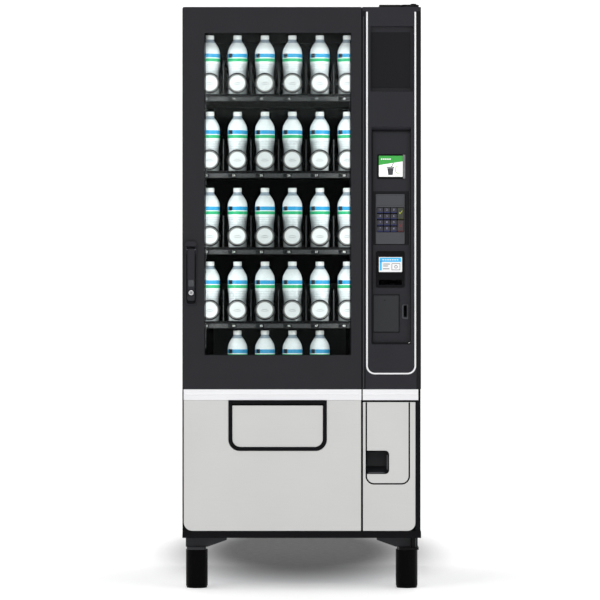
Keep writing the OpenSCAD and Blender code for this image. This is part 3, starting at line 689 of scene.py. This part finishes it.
def make_delivery_surround():
    """Surround of the opening, its bin with a ribbed floor, and a block over each end of the flap's pin."""
    build = Build()
    low, high = box("delivery_bin")
    x0, x1, z0, z1 = -230, 78.3, 434.3, 593
    band, r = 10.6, 35
    outer = rounded(x0, x1, z0, z1, [r, r, 0.8, 0.8], 10)
    inner = rounded(x0 + band, x1 - band, z0 + band, z1 - 12, [r - band, r - band, 1, 1], 10)
    build.ring(outer, inner, low.y, low.y + 8.5, 0, 1.6)
    wall, front, bin_top, ribs, rib_margin = 2.5, low.y + 12.5, 575, 7, 18
    for x in (low.x, high.x - wall):
        build.box((x, front, low.z), (x + wall, high.y, bin_top), 0, 0.6)
    build.box((low.x + wall, high.y - wall, low.z), (high.x - wall, high.y, bin_top), 0, 0.6)
    build.box((low.x + wall, front, low.z), (high.x - wall, high.y - wall, low.z + wall), 0, 0.6)
    for k in range(ribs):
        x = low.x + (k + 0.75) * (high.x - low.x) / (ribs + 0.5)
        build.box((x, front + rib_margin, low.z + wall), (x + 5, high.y - rib_margin, low.z + wall + 1.4),
                  0, 0.5)
    for x in (FLAP[0].x - 1, FLAP[1].x - 6):
        build.box((x, low.y + 8.7, bin_top + 1), (x + 7, low.y + 21, bin_top + 5), 0, 0.5)
    build.piece("delivery_surround", ["black"], "door", ["delivery_bin"])


def make_flap():
    """Brushed flap with a raised back, its pin and the two lugs that hold it."""
    build = Build()
    low, high = FLAP
    x0, x1 = low.x + 7, high.x - 7
    build.prism(rounded(x0, x1, low.z, high.z, [26, 26, 1.5, 1.5], 10), low.y, low.y + 3, 0, 0.7)
    build.prism(rounded(x0 + 9, x1 - 9, low.z + 9, high.z - 18, 17, 10), low.y + 3, low.y + 4.2, 1)
    pin_z, pin_r, length = 572, 2.9, high.x - low.x
    pin = [(0, 0), (pin_r, 0.2), (pin_r, length - 0.2), (0, length)]
    build.lathe(pin, (low.x, high.y - 3, pin_z), "x", 16, [2] * 3)
    for x in (x0 + 20, x1 - 24):
        build.box((x, low.y + 1.5, pin_z - 4), (x + 4, high.y, pin_z + 3), 2, 0.5)
    build.piece("flap_plate", ["brushed", "black", "galvanised"], "flap", ["delivery_flap"])


def make_coin_cup():
    """Cup with a sloping floor, a lighter lip along its floor and a painted highlight up its right rim."""
    build = Build()
    low, high = CUP
    wall = 3
    back = high.y - wall
    x0, x1, z = low.x + wall, high.x - wall, low.z + wall
    outer = rounded(low.x, high.x, low.z, high.z, [0.5, 12, 12, 0.5])
    inner = rounded(x0, x1, z, high.z - wall, [0.5, 9, 9, 0.5])
    build.ring(outer, inner, low.y, back, 0, 1.1)
    build.prism(inner, back - 0.5, high.y - 0.2, 2)
    points = [(x0, low.y + 3, z), (x1, low.y + 3, z), (x1, back, z), (x0, back, z), (x0, back, z + 18),
              (x1, back, z + 18)]
    build.add(points, [(0, 1, 5, 4), (0, 3, 2, 1), (3, 4, 5, 2), (0, 4, 3), (1, 2, 5)], 2)
    # painted highlight: a light grey strip up the cup's right rim
    build.box((x1 - 4, low.y + 1, z + 10), (x1 - 0.2, low.y + 8, high.z - 14), 1, 1)
    build.box((x0 + 4, low.y + 0.3, z - 0.6), (x1 - 12, low.y + 6, z + 2.2), 1, 0.8)
    build.piece("coin_cup", ["black", "grey", "cover"], "door", ["coin_return_cup"])


LEVER_X = (LEVER[0].x + 5, LEVER[1].x - 3.5)


def make_handle_dish():
    """Dish round the lever, with a hood over its pin and a cheek on both sides."""
    build = Build()
    low, high = HANDLE
    hood_z = LEVER[1].z + 4
    outer = rounded(low.x, high.x, low.z, high.z, 9)
    inner = rounded(LEVER_X[0] - 1.2, LEVER_X[1] + 1.2, low.z + 5, hood_z, 6)
    build.ring(outer, inner, high.y - 6, high.y, 0, 2)
    build.prism(inner, high.y - 1.9, high.y, 1)
    build.prism(rounded(low.x, high.x, hood_z + 1, high.z, [1, 1, 9, 9]), low.y, high.y - 4, 0, 2.2)
    for x0, x1 in ((low.x + 0.3, LEVER_X[0] - 1), (LEVER_X[1] + 1, high.x - 0.3)):
        build.box((x0, low.y + 0.5, hood_z - 22), (x1, high.y - 4, hood_z + 1), 0, 0.6)
    build.piece("handle_dish", ["column", "black"], "door", ["handle_base"], smooth=35)


def make_lever_and_lock():
    """Lever with a hole for the lock, a lighter pad and its pin; the lock's barrel with a key slot."""
    build = Build()
    low, high = LEVER
    lock_x, lock_z = (LOCK[0].x + LOCK[1].x) / 2, (LOCK[0].z + LOCK[1].z) / 2
    pin_z, pin_r = 1066, 1.9
    grip = rounded(*LEVER_X, low.z, high.z, [7, 7, 3, 3])
    build.ring(grip, circle_outline(lock_x, lock_z, 8.3, len(grip)), low.y + 1, high.y, 0, 2.4)
    pad = rounded(LEVER_X[0] + 3, LEVER_X[1] - 3, low.z + 45, low.z + 66, 3)
    build.prism(pad, low.y + 0.4, low.y + 2, 1, 0.5)
    build.tube([Vector((x, low.y + 8, pin_z)) for x in (low.x, high.x)], pin_r, 12, 2)
    build.piece("lever_grip", ["column", "grey", "galvanised"], "lever", ["handle_lever"],
                smooth=35)

    build = Build()
    profile = [(8, 9.8), (8, 0.9), (7.2, 0.1), (5.6, 0.2), (5.2, 1.2), (0.01, 1.2)]
    build.lathe(profile, (lock_x, low.y, lock_z), "y", 32)
    build.box((lock_x - 0.8, low.y + 0.9, lock_z - 3.6), (lock_x + 0.8, low.y + 1.4, lock_z + 3.6), 1, 0.2)
    build.piece("lock_barrel", ["chrome", "black"], "lock", ["lock_cylinder"])


def make_led_channels():
    """Lamp strips inside the window's sides: a lit face towards the trays in a dark channel."""
    low, high = box("door_lights")
    width, end = 2.6, 3.6
    build = Build()
    for side, edge in ((1, low.x), (-1, high.x)):
        x0, x1 = sorted((edge, edge + side * width))
        lit_x0, lit_x1 = sorted((edge + side * 0.3, edge + side * (width - 0.2)))
        build.box((x0, low.y, low.z), (x1, low.y + 1.2, high.z), 0, 0.3)
        build.box((lit_x0, low.y + 1.3, low.z + 4), (lit_x1, high.y, high.z - 4), 1, 0.3)
        for z in (low.z, high.z - end):
            build.box((x0, low.y + 1.3, z), (x1, high.y, z + end), 0, 0.4)
    build.piece("lamp_channels", ["black", "led"], "door", ["door_lights"])


def make_edge_strips():
    """Darker edge mouldings on both sides of the control column."""
    build = Build()
    for x0, x1 in ((COLUMN[0].x + 0.8, 201.4), (360.4, COLUMN[1].x - 1.6)):
        build.box((x0, DOOR_Y - 0.45, BELT_Z[1] + 1), (x1, DOOR_Y - 0.05, COLUMN[1].z - 13), 0, 0.2)
    build.piece("edge_strips", ["edging"], "door")


make_edge_strips()
make_led_channels()
make_window_surround()
make_bright_trim()
make_lower_panels()
make_access_line()
make_delivery_surround()
make_flap()
make_coin_cup()
make_handle_dish()
make_lever_and_lock()

# ---------------- controls


def make_display():
    """Lit screen with a generic picture of a cup on a green and white card."""
    build = Build()
    low, high = SCREEN
    x0, x1, z0, z1 = 242.4, 317.6, 1295.4, 1361.6
    build.ring(rounded(low.x, high.x, low.z, high.z, 1.5, 4), rounded(x0, x1, z0, z1, 0.4, 4), low.y,
               RECESS_Y - 0.1, 0, 0.6)
    # painted highlight: the grey strip stands for the lit side of the screen's bezel
    build.box((x1 + 0.4, low.y - 0.3, low.z + 1), (high.x - 0.4, low.y + 0.5, high.z - 1), 5, 0.2)
    y = low.y + 1.5
    build.box((x0, y, z0), (x1, y + 6, z1), 1, 0.1)
    layer = y - 0.12
    build.prism([(x0, 1332), (x1, 1344), (x1, z1), (x0, z1)], layer, y + 0.2, 2)
    for k in range(5):
        block = shifted([(0, 0), (4, 0), (4, 4), (0, 4)], x0 + 7 + 6.5 * k, 1349)
        build.prism(block, layer - 0.08, layer + 0.1, 1)
    glass = [(-9, 0), (5, 0), (8, 22), (-12, 22)]
    lid = [(-14, 23), (10, 23), (10, 26), (-14, 26)]
    straw = [(0, 26), (2.2, 26), (9, 38), (7, 38.5)]
    for shape in (glass, lid, straw):
        build.prism(shifted(shape, 281, 1301), layer, y + 0.2, 4)
    angles = [math.radians(110 + 11 * k) for k in range(15)]
    outer, inner = ([(307 + r * math.cos(a), 1318 + r * math.sin(a)) for a in angles] for r in (14, 11.6))
    build.prism(outer + inner[::-1], layer, y + 0.2, 3)
    build.piece("display_picture", ["black", "screen_white", "screen_green", "screen_pale", "screen_dark",
                                    "bezel_side_highlight"], "door", ["display_screen"])


def make_keypad():
    """Keypad surround with a window for the keys, and each key's cap with its legend."""
    build = Build()
    low, high = KEYPAD
    names = sorted(n for n in frame["nodes"] if n.startswith("key_"))
    keys = [box(n) for n in names]
    x0, x1 = min(k[0].x for k in keys) - 1.2, max(k[1].x for k in keys) + 1.2
    z0, z1 = min(k[0].z for k in keys) - 1.4, max(k[1].z for k in keys) + 1.4
    outer = rounded(low.x, high.x, low.z, high.z, 3, 4)
    build.ring(outer, rounded(x0, x1, z0, z1, 1, 4), low.y, high.y, 0, 0.7)
    well_x, well_z = (221, 337.5), (low.z - 3, high.z + 9)
    build.ring(rounded(*well_x, *well_z, 3, 4), offset_outline(outer, -0.2), RECESS_Y - 0.5, COVER_Y, 2, 0.2)
    build.box((well_x[1] + 0.5, RECESS_Y - 1.2, well_z[0]), (well_x[1] + 3, COVER_Y, well_z[1]), 1, 0.5)
    groove = rounded(low.x + 3, high.x - 3, z1 + 6, high.z - 4, 2, 4)
    build.ring(groove, offset_outline(groove, 0.5), low.y - 0.12, low.y + 0.2, 1)
    build.piece("keypad_surround", ["grey", "cover", "edging"], "door", ["keypad_plate"])
    legends = {f"key_{n}": str(n) for n in range(10)}
    legends.update(key_star="*", key_hash="#")
    for name in names:
        make_key(name, legends.get(name))


KEY_LOOKS = {
    "key_confirm": (["key_yellow", "ink_olive", "ink_yellow"], "key_yellow"),
    "key_cancel": (["key_red", "ink_wine", "ink_red"], "key_red"),
}


def make_key(name, legend):
    """Key cap with a dark bar along its foot, and its digit, tick or cross."""
    low, high = box(name)
    build = Build()
    mats, slot = KEY_LOOKS.get(name, (["key", "ink_navy", "ink_navy"], "key_plastic"))
    front = low.y + 0.35
    ink_y = (front - 0.1, front + 0.2)
    build.prism(rounded(low.x, high.x, low.z, high.z, 2, 4), front, high.y, 0, 0.7)
    build.prism(rounded(low.x + 0.8, high.x - 0.8, low.z + 0.5, low.z + 3.4, 0.5, 3), *ink_y, 1)
    cx, cz = (low.x + high.x) / 2, (low.z + high.z) / 2 + 2
    if name == "key_confirm":
        tick = [(-5, 1), (-2, -4), (6, 6), (4.6, 7.2), (-1.8, -1), (-3.8, 2.2)]
        build.prism(shifted(tick, cx, cz), *ink_y, 2)
    if name == "key_cancel":
        stroke = [(-4, -4), (-2.8, -5.2), (5.2, 2.8), (4, 4)]
        mirrored = [(-x, z) for x, z in reversed(stroke)]
        for shape in (stroke, mirrored):
            build.prism(shifted(shape, cx, cz), *ink_y, 2)
    build.piece(f"{name}_cap", mats, name, [name])
    if legend:
        lettering([(legend, cx, front - 0.1, cz, 9)], "ink_lavender", name, f"{name}_legend")


def make_validator():
    """Banknote reader with a blue and white card and a mouth with guide ribs."""
    build = Build()
    low, high = VALIDATOR
    y = low.y
    case_x, mouth_z = (238, 319), (956, 971)
    mouth = rounded(243, 314, *mouth_z, 1, 4)
    build.ring(rounded(low.x, high.x, low.z, high.z, 4, 4), mouth, y + 0.6, RECESS_Y - 0.1, 0, 1.2)
    build.box((case_x[0], RECESS_Y, mouth_z[1] + 2), (case_x[1], high.y, 1057), 0, 1.5)
    build.box((case_x[0], RECESS_Y, 952), (case_x[1], high.y, mouth_z[0] - 0.4), 0, 0.6)
    for k in range(9):
        x = 250 + 7 * k
        build.box((x, y + 3, mouth_z[0] - 0.6), (x + 1.6, y + 24, mouth_z[0] + 1.2), 0, 0.3)
    x0, x1, z0, z1 = 242.6, 315.4, 996, 1042.8
    layer = y + 0.45
    build.prism(rounded(x0, x1, z0, z1, 1.5, 4), layer, y + 1, 1)
    ink_y = (layer - 0.12, layer + 0.1)
    build.prism(rounded(x0 + 2.5, x1 - 3, z1 - 15, z1 - 2, 1.5, 4), *ink_y, 2)
    build.prism(rounded(x0 + 2.5, x0 + 9, z0 + 5, z1 - 12, 1, 4), *ink_y, 2)
    for k in range(7):
        x = x0 + 11 + 7.5 * k
        build.prism(rounded(x, x + 5, z1 - 10, z1 - 7, 0.5, 3), ink_y[0] - 0.08, ink_y[0] + 0.1, 1)
    note = rounded(x0 + 40, x1 - 6, z0 + 6, z0 + 27, 2, 6)
    build.ring(note, offset_outline(note, 1.3), *ink_y, 3)
    outer, inner = (circle_outline(x0 + 53.5, z0 + 16.5, r, 24) for r in (5, 3.6))
    build.ring(outer, inner, *ink_y, 3)
    for z, length in ((24, 22), (18, 16), (9, 20)):
        build.prism(rounded(x0 + 13, x0 + 13 + length, z0 + z, z0 + z + 2, 0.6, 3), *ink_y, 3)
    build.piece("note_reader", ["black", "label_white", "screen_blue", "screen_dark"], "door",
                ["bill_validator"])


def make_coin_entry():
    """Coin slot's bezel, and the coin mechanism behind it with four ribs on its back."""
    build = Build()
    low, high = box("coin_unit")
    outer = rounded(315, 336, 848, 895, [7, 4, 4, 7], 6)
    build.ring(outer, rounded(320.4, 332, 853.5, 892.5, 4, 6), low.y + 1.6, RECESS_Y - 0.1, 1, 1.2)
    build.box((236, high.y - 64, 700), (312, high.y, 880), 1, 3)
    for k in range(4):
        z = 720 + 34 * k
        build.box((244, high.y - 0.8, z), (304, high.y, z + 22), 0, 0.4)
    build.piece("coin_entry", ["cover", "grey"], "door", ["coin_unit"])


def make_covers():
    """Blank covers: one low in the long recess with a round mark, one in the upper pocket, dished."""
    build = Build()
    build.prism(rounded(219.6, 305.2, 808.2, 922.8, 2.5, 5), RECESS_Y - 2, RECESS_Y - 0.1, 0, 0.8)
    outer, inner = (circle_outline(261, 907, r, 16) for r in (2, 1.2))
    build.ring(outer, inner, RECESS_Y - 2.1, RECESS_Y - 1.8, 1)
    x0, x1, z0, z1 = 217.2, 340.8, 1574.2, 1749.8
    steps, depth = 16, 1.9
    sections = []
    for share in (k / steps for k in range(steps + 1)):
        x = x0 + share * (x1 - x0)
        front, back = RECESS_Y - 2.9 + depth * math.sin(math.pi * share) ** 0.8, RECESS_Y - 0.1
        sections.append([(x, front, z0), (x, front, z1), (x, back, z1), (x, back, z0)])
    build.loft(sections, 2)
    build.piece("recess_covers", ["cover", "black", "edging"], "door", ["blank_plates"],
                smooth=40)


def make_recess_lining():
    """Dark lining inside the long recess, whose wider left and lower bands are painted shade, with a painted
    glint at its lower right, and the shield behind the controls.
    """
    build = Build()
    x0, x1, z0, z1 = 219.1, 342.9, 769.1, 1438.9
    # painted shade: the ring's dark front bands, widest at the recess's left and bottom
    inner = rounded(x0 + 4.5, x1 - 1.2, z0 + 6, z1 - 2, [6, 5, 1, 1])
    build.ring(rounded(x0, x1, z0, z1, 1), inner, RECESS_Y - 9, COVER_Y, 0, 1.5)
    # painted glint: a short bright stroke at the recess's lower right corner
    painted_glint = [Vector((x1 - 3.2 - 0.84 * k, RECESS_Y - 9.3, z0 + 6.5 - 0.68 * k)) for k in range(6)]
    build.tube(painted_glint, 0.8, 8, 1)
    build.ring(rounded(223.6, 308, 805, 926, 2), rounded(226.6, 305.4, 808, 923, 2), RECESS_Y - 2.2, COVER_Y,
               0, 0.2)
    back = RECESS_Y + 6.2
    build.box((224, back, 1068), (332, back + 2.4, 1374), 0, 0.5)
    for x in (230, 326):
        for z in (1074, 1220, 1368):
            rear_screw(build, x, back + 2.3, z, 2)
    build.piece("recess_shade_lining", ["edging", "bright", "galvanised"], "door")


def rear_screw(build, x, y, z, mat):
    """Small pan-head screw that faces backwards."""
    profile = [(3.4, 0), (3.4, 0.6), (2.8, 1.2), (1.6, 1.6), (1.2, 1.0), (0.01, 1.0)]
    build.lathe(profile, (x, y, z), "y", 12, [mat] * 5)


make_recess_lining()
make_display()
make_keypad()
make_validator()
make_coin_entry()
make_covers()

# ---------------- cabinet


def make_rear_details():
    """Louvre hoods, edge screws, a small plate and a blank cable inlet on the back."""
    build = Build()
    y = REAR_Y
    wide, narrow = 132, 130
    hood_faces = [(0, 1, 2, 3), (3, 2, 5, 4), (4, 5, 7, 6), (0, 3, 4, 6), (1, 7, 5, 2), (0, 6, 7, 1)]
    for x in (-165, 165):
        for z in (218 + 22 * row for row in range(11)):
            points = [(x - wide, y, z + 4), (x + wide, y, z + 4),
                      (x + narrow, y + 4.6, z - 6), (x - narrow, y + 4.6, z - 6),
                      (x - narrow, y + 3.4, z - 6), (x + narrow, y + 3.4, z - 6),
                      (x - wide, y, z + 2), (x + wide, y, z + 2)]
            build.add(points, hood_faces)
    places = [(x, z) for x in (-362, 362) for z in (170, 300, 440, 500, 760, 1020, 1280, 1540, 1800)]
    places += [(x, z) for x in range(-270, 271, 90) for z in (500, 1806)]
    for x, z in places:
        rear_screw(build, x, y, z, 1)
    build.box((-350, y - 0.2, 1300), (-270, y + 1.2, 1380), 2, 0.5)
    inlet = [(16, 0), (16, 3.5), (13, 4.5), (9, 4.5), (8, 1), (0.01, 1)]
    build.lathe(inlet, (-310, y, 520), "y", 24, [3] * 5)
    build.piece("rear_details", ["charcoal", "galvanised", "cover", "rubber"], "cabinet")


def make_hinge_bolts():
    """Three hexagon heads on the upper hinge plate."""
    build = Build()
    plate_top = box("hinge_brackets")[1].z - 3.5
    for x in (258, 298, 326):
        build.lathe([(6, 0), (6, 2.2), (4.6, 3.2), (0, 3.3)], (x, -345, plate_top), "z", 6)
    build.piece("hinge_bolts", ["black_paint"], "cabinet", smooth=None)


def make_cooling_details():
    """Condenser fins and copper lines."""
    build = Build()
    for x in (-327 + 5.1 * k for k in range(58)):
        build.box((x, 245.5, 174), (x + 0.6, 249.8, 470))
    for z in (190 + 35 * k for k in range(8)):
        build.tube([Vector((x, 244, z)) for x in (-335, -25)], 3, 8, 1)
    build.piece("condenser_fins", ["fins", "copper"], "cabinet", smooth=None)


def make_liner():
    """Black skins on the inside faces of the insulation."""
    build = Build()
    x0, x1 = TRAYS[1][0].x - 2.4, TRAYS[1][1].x + 2.4
    y0, y1 = box("insulation")[0].y + 4, 392
    z0, z1 = 586, 1785.5
    build.box((x0 - 0.5, y0, z0), (x0, y1, z1))
    build.box((x1, y0, z0), (x1 + 0.5, y1, z1))
    build.box((x0, y0, z1), (x1, y1, z1 + 0.6))
    build.piece("liner_skins", ["liner"], "cabinet", smooth=None)


make_rear_details()
make_hinge_bolts()
make_cooling_details()
make_liner()

CAD_LOOKS = {
    "cabinet_panels": "charcoal", "rear_panel": "charcoal", "base_pan": "galvanised", "legs": "leg_black",
    "hinge_brackets": "black_paint", "insulation": "liner", "tray_rails": "galvanised",
    "cooling_unit": "cover", "condenser_fan": "black", "control_box": "galvanised", "door_frame": "black",
    "door_gasket": "rubber", "window_glass": "glass", "control_fascia": "column",
}
CAD_LOOKS.update({f"tray_{row}": "tray" for row in ROWS})
for node_name, look in CAD_LOOKS.items():
    mesh = frame["nodes"][node_name].data
    mesh.materials.clear()
    mesh.materials.append(MATS[look])

LEG_CAP_Z = 120.5 * MM
legs = frame["nodes"]["legs"].data
legs.materials.append(MATS["cover"])
for face in legs.polygons:
    if face.center.z > LEG_CAP_Z:
        face.material_index = 1

# ---------------- stage, light, camera


def floor_material():
    """White floor that gives a little light, with a soft painted shadow under and behind the machine; its
    rise is clear from behind.
    """
    mat, nodes, links, shader = new_material("floor_white")
    place = nodes.new("ShaderNodeTexCoord")
    painted_shadow_place = nodes.new("ShaderNodeMapping")
    painted_shadow_place.vector_type = "TEXTURE"
    set_inputs(painted_shadow_place, Location=(0, 1.1, 0), Scale=(0.62, 1.7, 100))
    links.new(place.outputs["Object"], painted_shadow_place.inputs["Vector"])
    painted_shadow_falloff = nodes.new("ShaderNodeTexGradient")
    painted_shadow_falloff.gradient_type = "SPHERICAL"
    links.new(painted_shadow_place.outputs["Vector"], painted_shadow_falloff.inputs["Vector"])
    grain = noise(nodes, links, place.outputs["Object"], 40, 2)
    # painted shadow: colour and given light go from white far off to dark grey under and behind the machine
    ramp = nodes.new("ShaderNodeValToRGB")
    ramp.color_ramp.interpolation = "EASE"
    ramp.color_ramp.elements[0].position = 0.0
    ramp.color_ramp.elements[0].color = (0.96, 0.96, 0.96, 1)
    ramp.color_ramp.elements[1].position = 0.62
    ramp.color_ramp.elements[1].color = (0.072, 0.072, 0.072, 1)
    links.new(painted_shadow_falloff.outputs["Fac"], ramp.inputs["Fac"])
    links.new(ramp.outputs["Color"], shader.inputs["Base Color"])
    links.new(ramp.outputs["Color"], shader.inputs["Emission Color"])
    links.new(ranged(nodes, links, grain, 0.55, 0.65), shader.inputs["Roughness"])
    set_inputs(shader, Emission_Strength=0.3, Specular_IOR_Level=0.05)
    side = nodes.new("ShaderNodeNewGeometry")
    clear = nodes.new("ShaderNodeBsdfTransparent")
    mix = nodes.new("ShaderNodeMixShader")
    links.new(side.outputs["Backfacing"], mix.inputs["Fac"])
    links.new(shader.outputs["BSDF"], mix.inputs[1])
    links.new(clear.outputs["BSDF"], mix.inputs[2])
    links.new(mix.outputs["Shader"], nodes["Material Output"].inputs["Surface"])
    return mat


def stage():
    """Floor that rises in a curve behind the machine."""
    mesh = bpy.data.meshes.new("floor")
    steps, depth, reach, rise, height = 16, 3.0, 30.0, 2.5, 9.0
    section = [(-reach, 0.0), (depth, 0.0)]
    section += [(depth + rise * math.sin(a), rise - rise * math.cos(a))
                for a in (math.pi / 2 * k / steps for k in range(1, steps + 1))]
    section.append((depth + rise, height))
    points = [(x, y, z) for y, z in section for x in (-reach, reach)]
    faces = [(2 * i, 2 * i + 1, 2 * i + 3, 2 * i + 2) for i in range(len(section) - 1)]
    mesh.from_pydata(points, [], faces)
    mesh.shade_smooth()
    mesh.materials.append(floor_material())
    new_object("floor", mesh)


def area_light(name, place, target, size, power):
    data = bpy.data.lights.new(name, "AREA")
    data.shape = "RECTANGLE"
    data.size, data.size_y = size
    data.energy = power
    lamp = new_object(name, data)
    lamp.location = place
    lamp.rotation_euler = (Vector(target) - Vector(place)).to_track_quat("-Z", "Y").to_euler()


def lights():
    """Studio lights, and thin ones inside the window's edges for the light of the lamp strips."""
    area_light("key", (-3.2, -4.2, 3.6), (0, 0, 0.9), (2.4, 2.4), 58)
    area_light("fill", (3.6, -3.8, 2.2), (0, 0, 0.9), (2.4, 2.4), 42)
    area_light("front", (0, -6.0, 2.6), (0, 0, 0.8), (3.0, 1.6), 40)
    area_light("top", (0, 0.6, 4.6), (0, 0, 0), (3.0, 3.0), 55)
    left, right = (WINDOW_X[0] + 6) * MM, (WINDOW_X[1] - 6) * MM
    bottom, top = (WINDOW_Z[0] + 6) * MM, (WINDOW_Z[1] - 6) * MM
    y = (GLASS[1].y + 12) * MM
    mid_x, mid_z, tall = (left + right) / 2, (bottom + top) / 2, top - bottom - 0.028
    for name, x, inward in (("left", left, 0.12), ("right", right, -0.12)):
        area_light(f"cabinet_{name}", (x, y, mid_z), (x + inward, y + 0.13, mid_z), (0.02, tall), 1.1)
    for name, z, slope, power in (("top", top, -0.25, 0.35), ("bottom", bottom, 0.25, 0.22)):
        area_light(f"cabinet_{name}", (mid_x, y, z), (mid_x, y + 0.14, z + slope), (0.42, 0.02), power)


def world():
    scene = bpy.context.scene
    scene.world = bpy.data.worlds.new("studio")
    scene.world.use_nodes = True
    back = scene.world.node_tree.nodes["Background"]
    set_inputs(back, Color=(1, 1, 1, 1), Strength=0.5)


def camera():
    data = bpy.data.cameras.new("camera")
    data.sensor_width = 36
    data.lens = 181.5
    data.clip_end = 60
    cam = new_object("camera", data)
    cam.location = (-0.0055, DOOR_Y * MM - 9.5, 0.908)
    cam.rotation_euler = (math.pi / 2, 0, 0)
    bpy.context.scene.camera = cam
    bpy.context.scene.view_settings.view_transform = "Standard"


stage()
lights()
world()
camera()
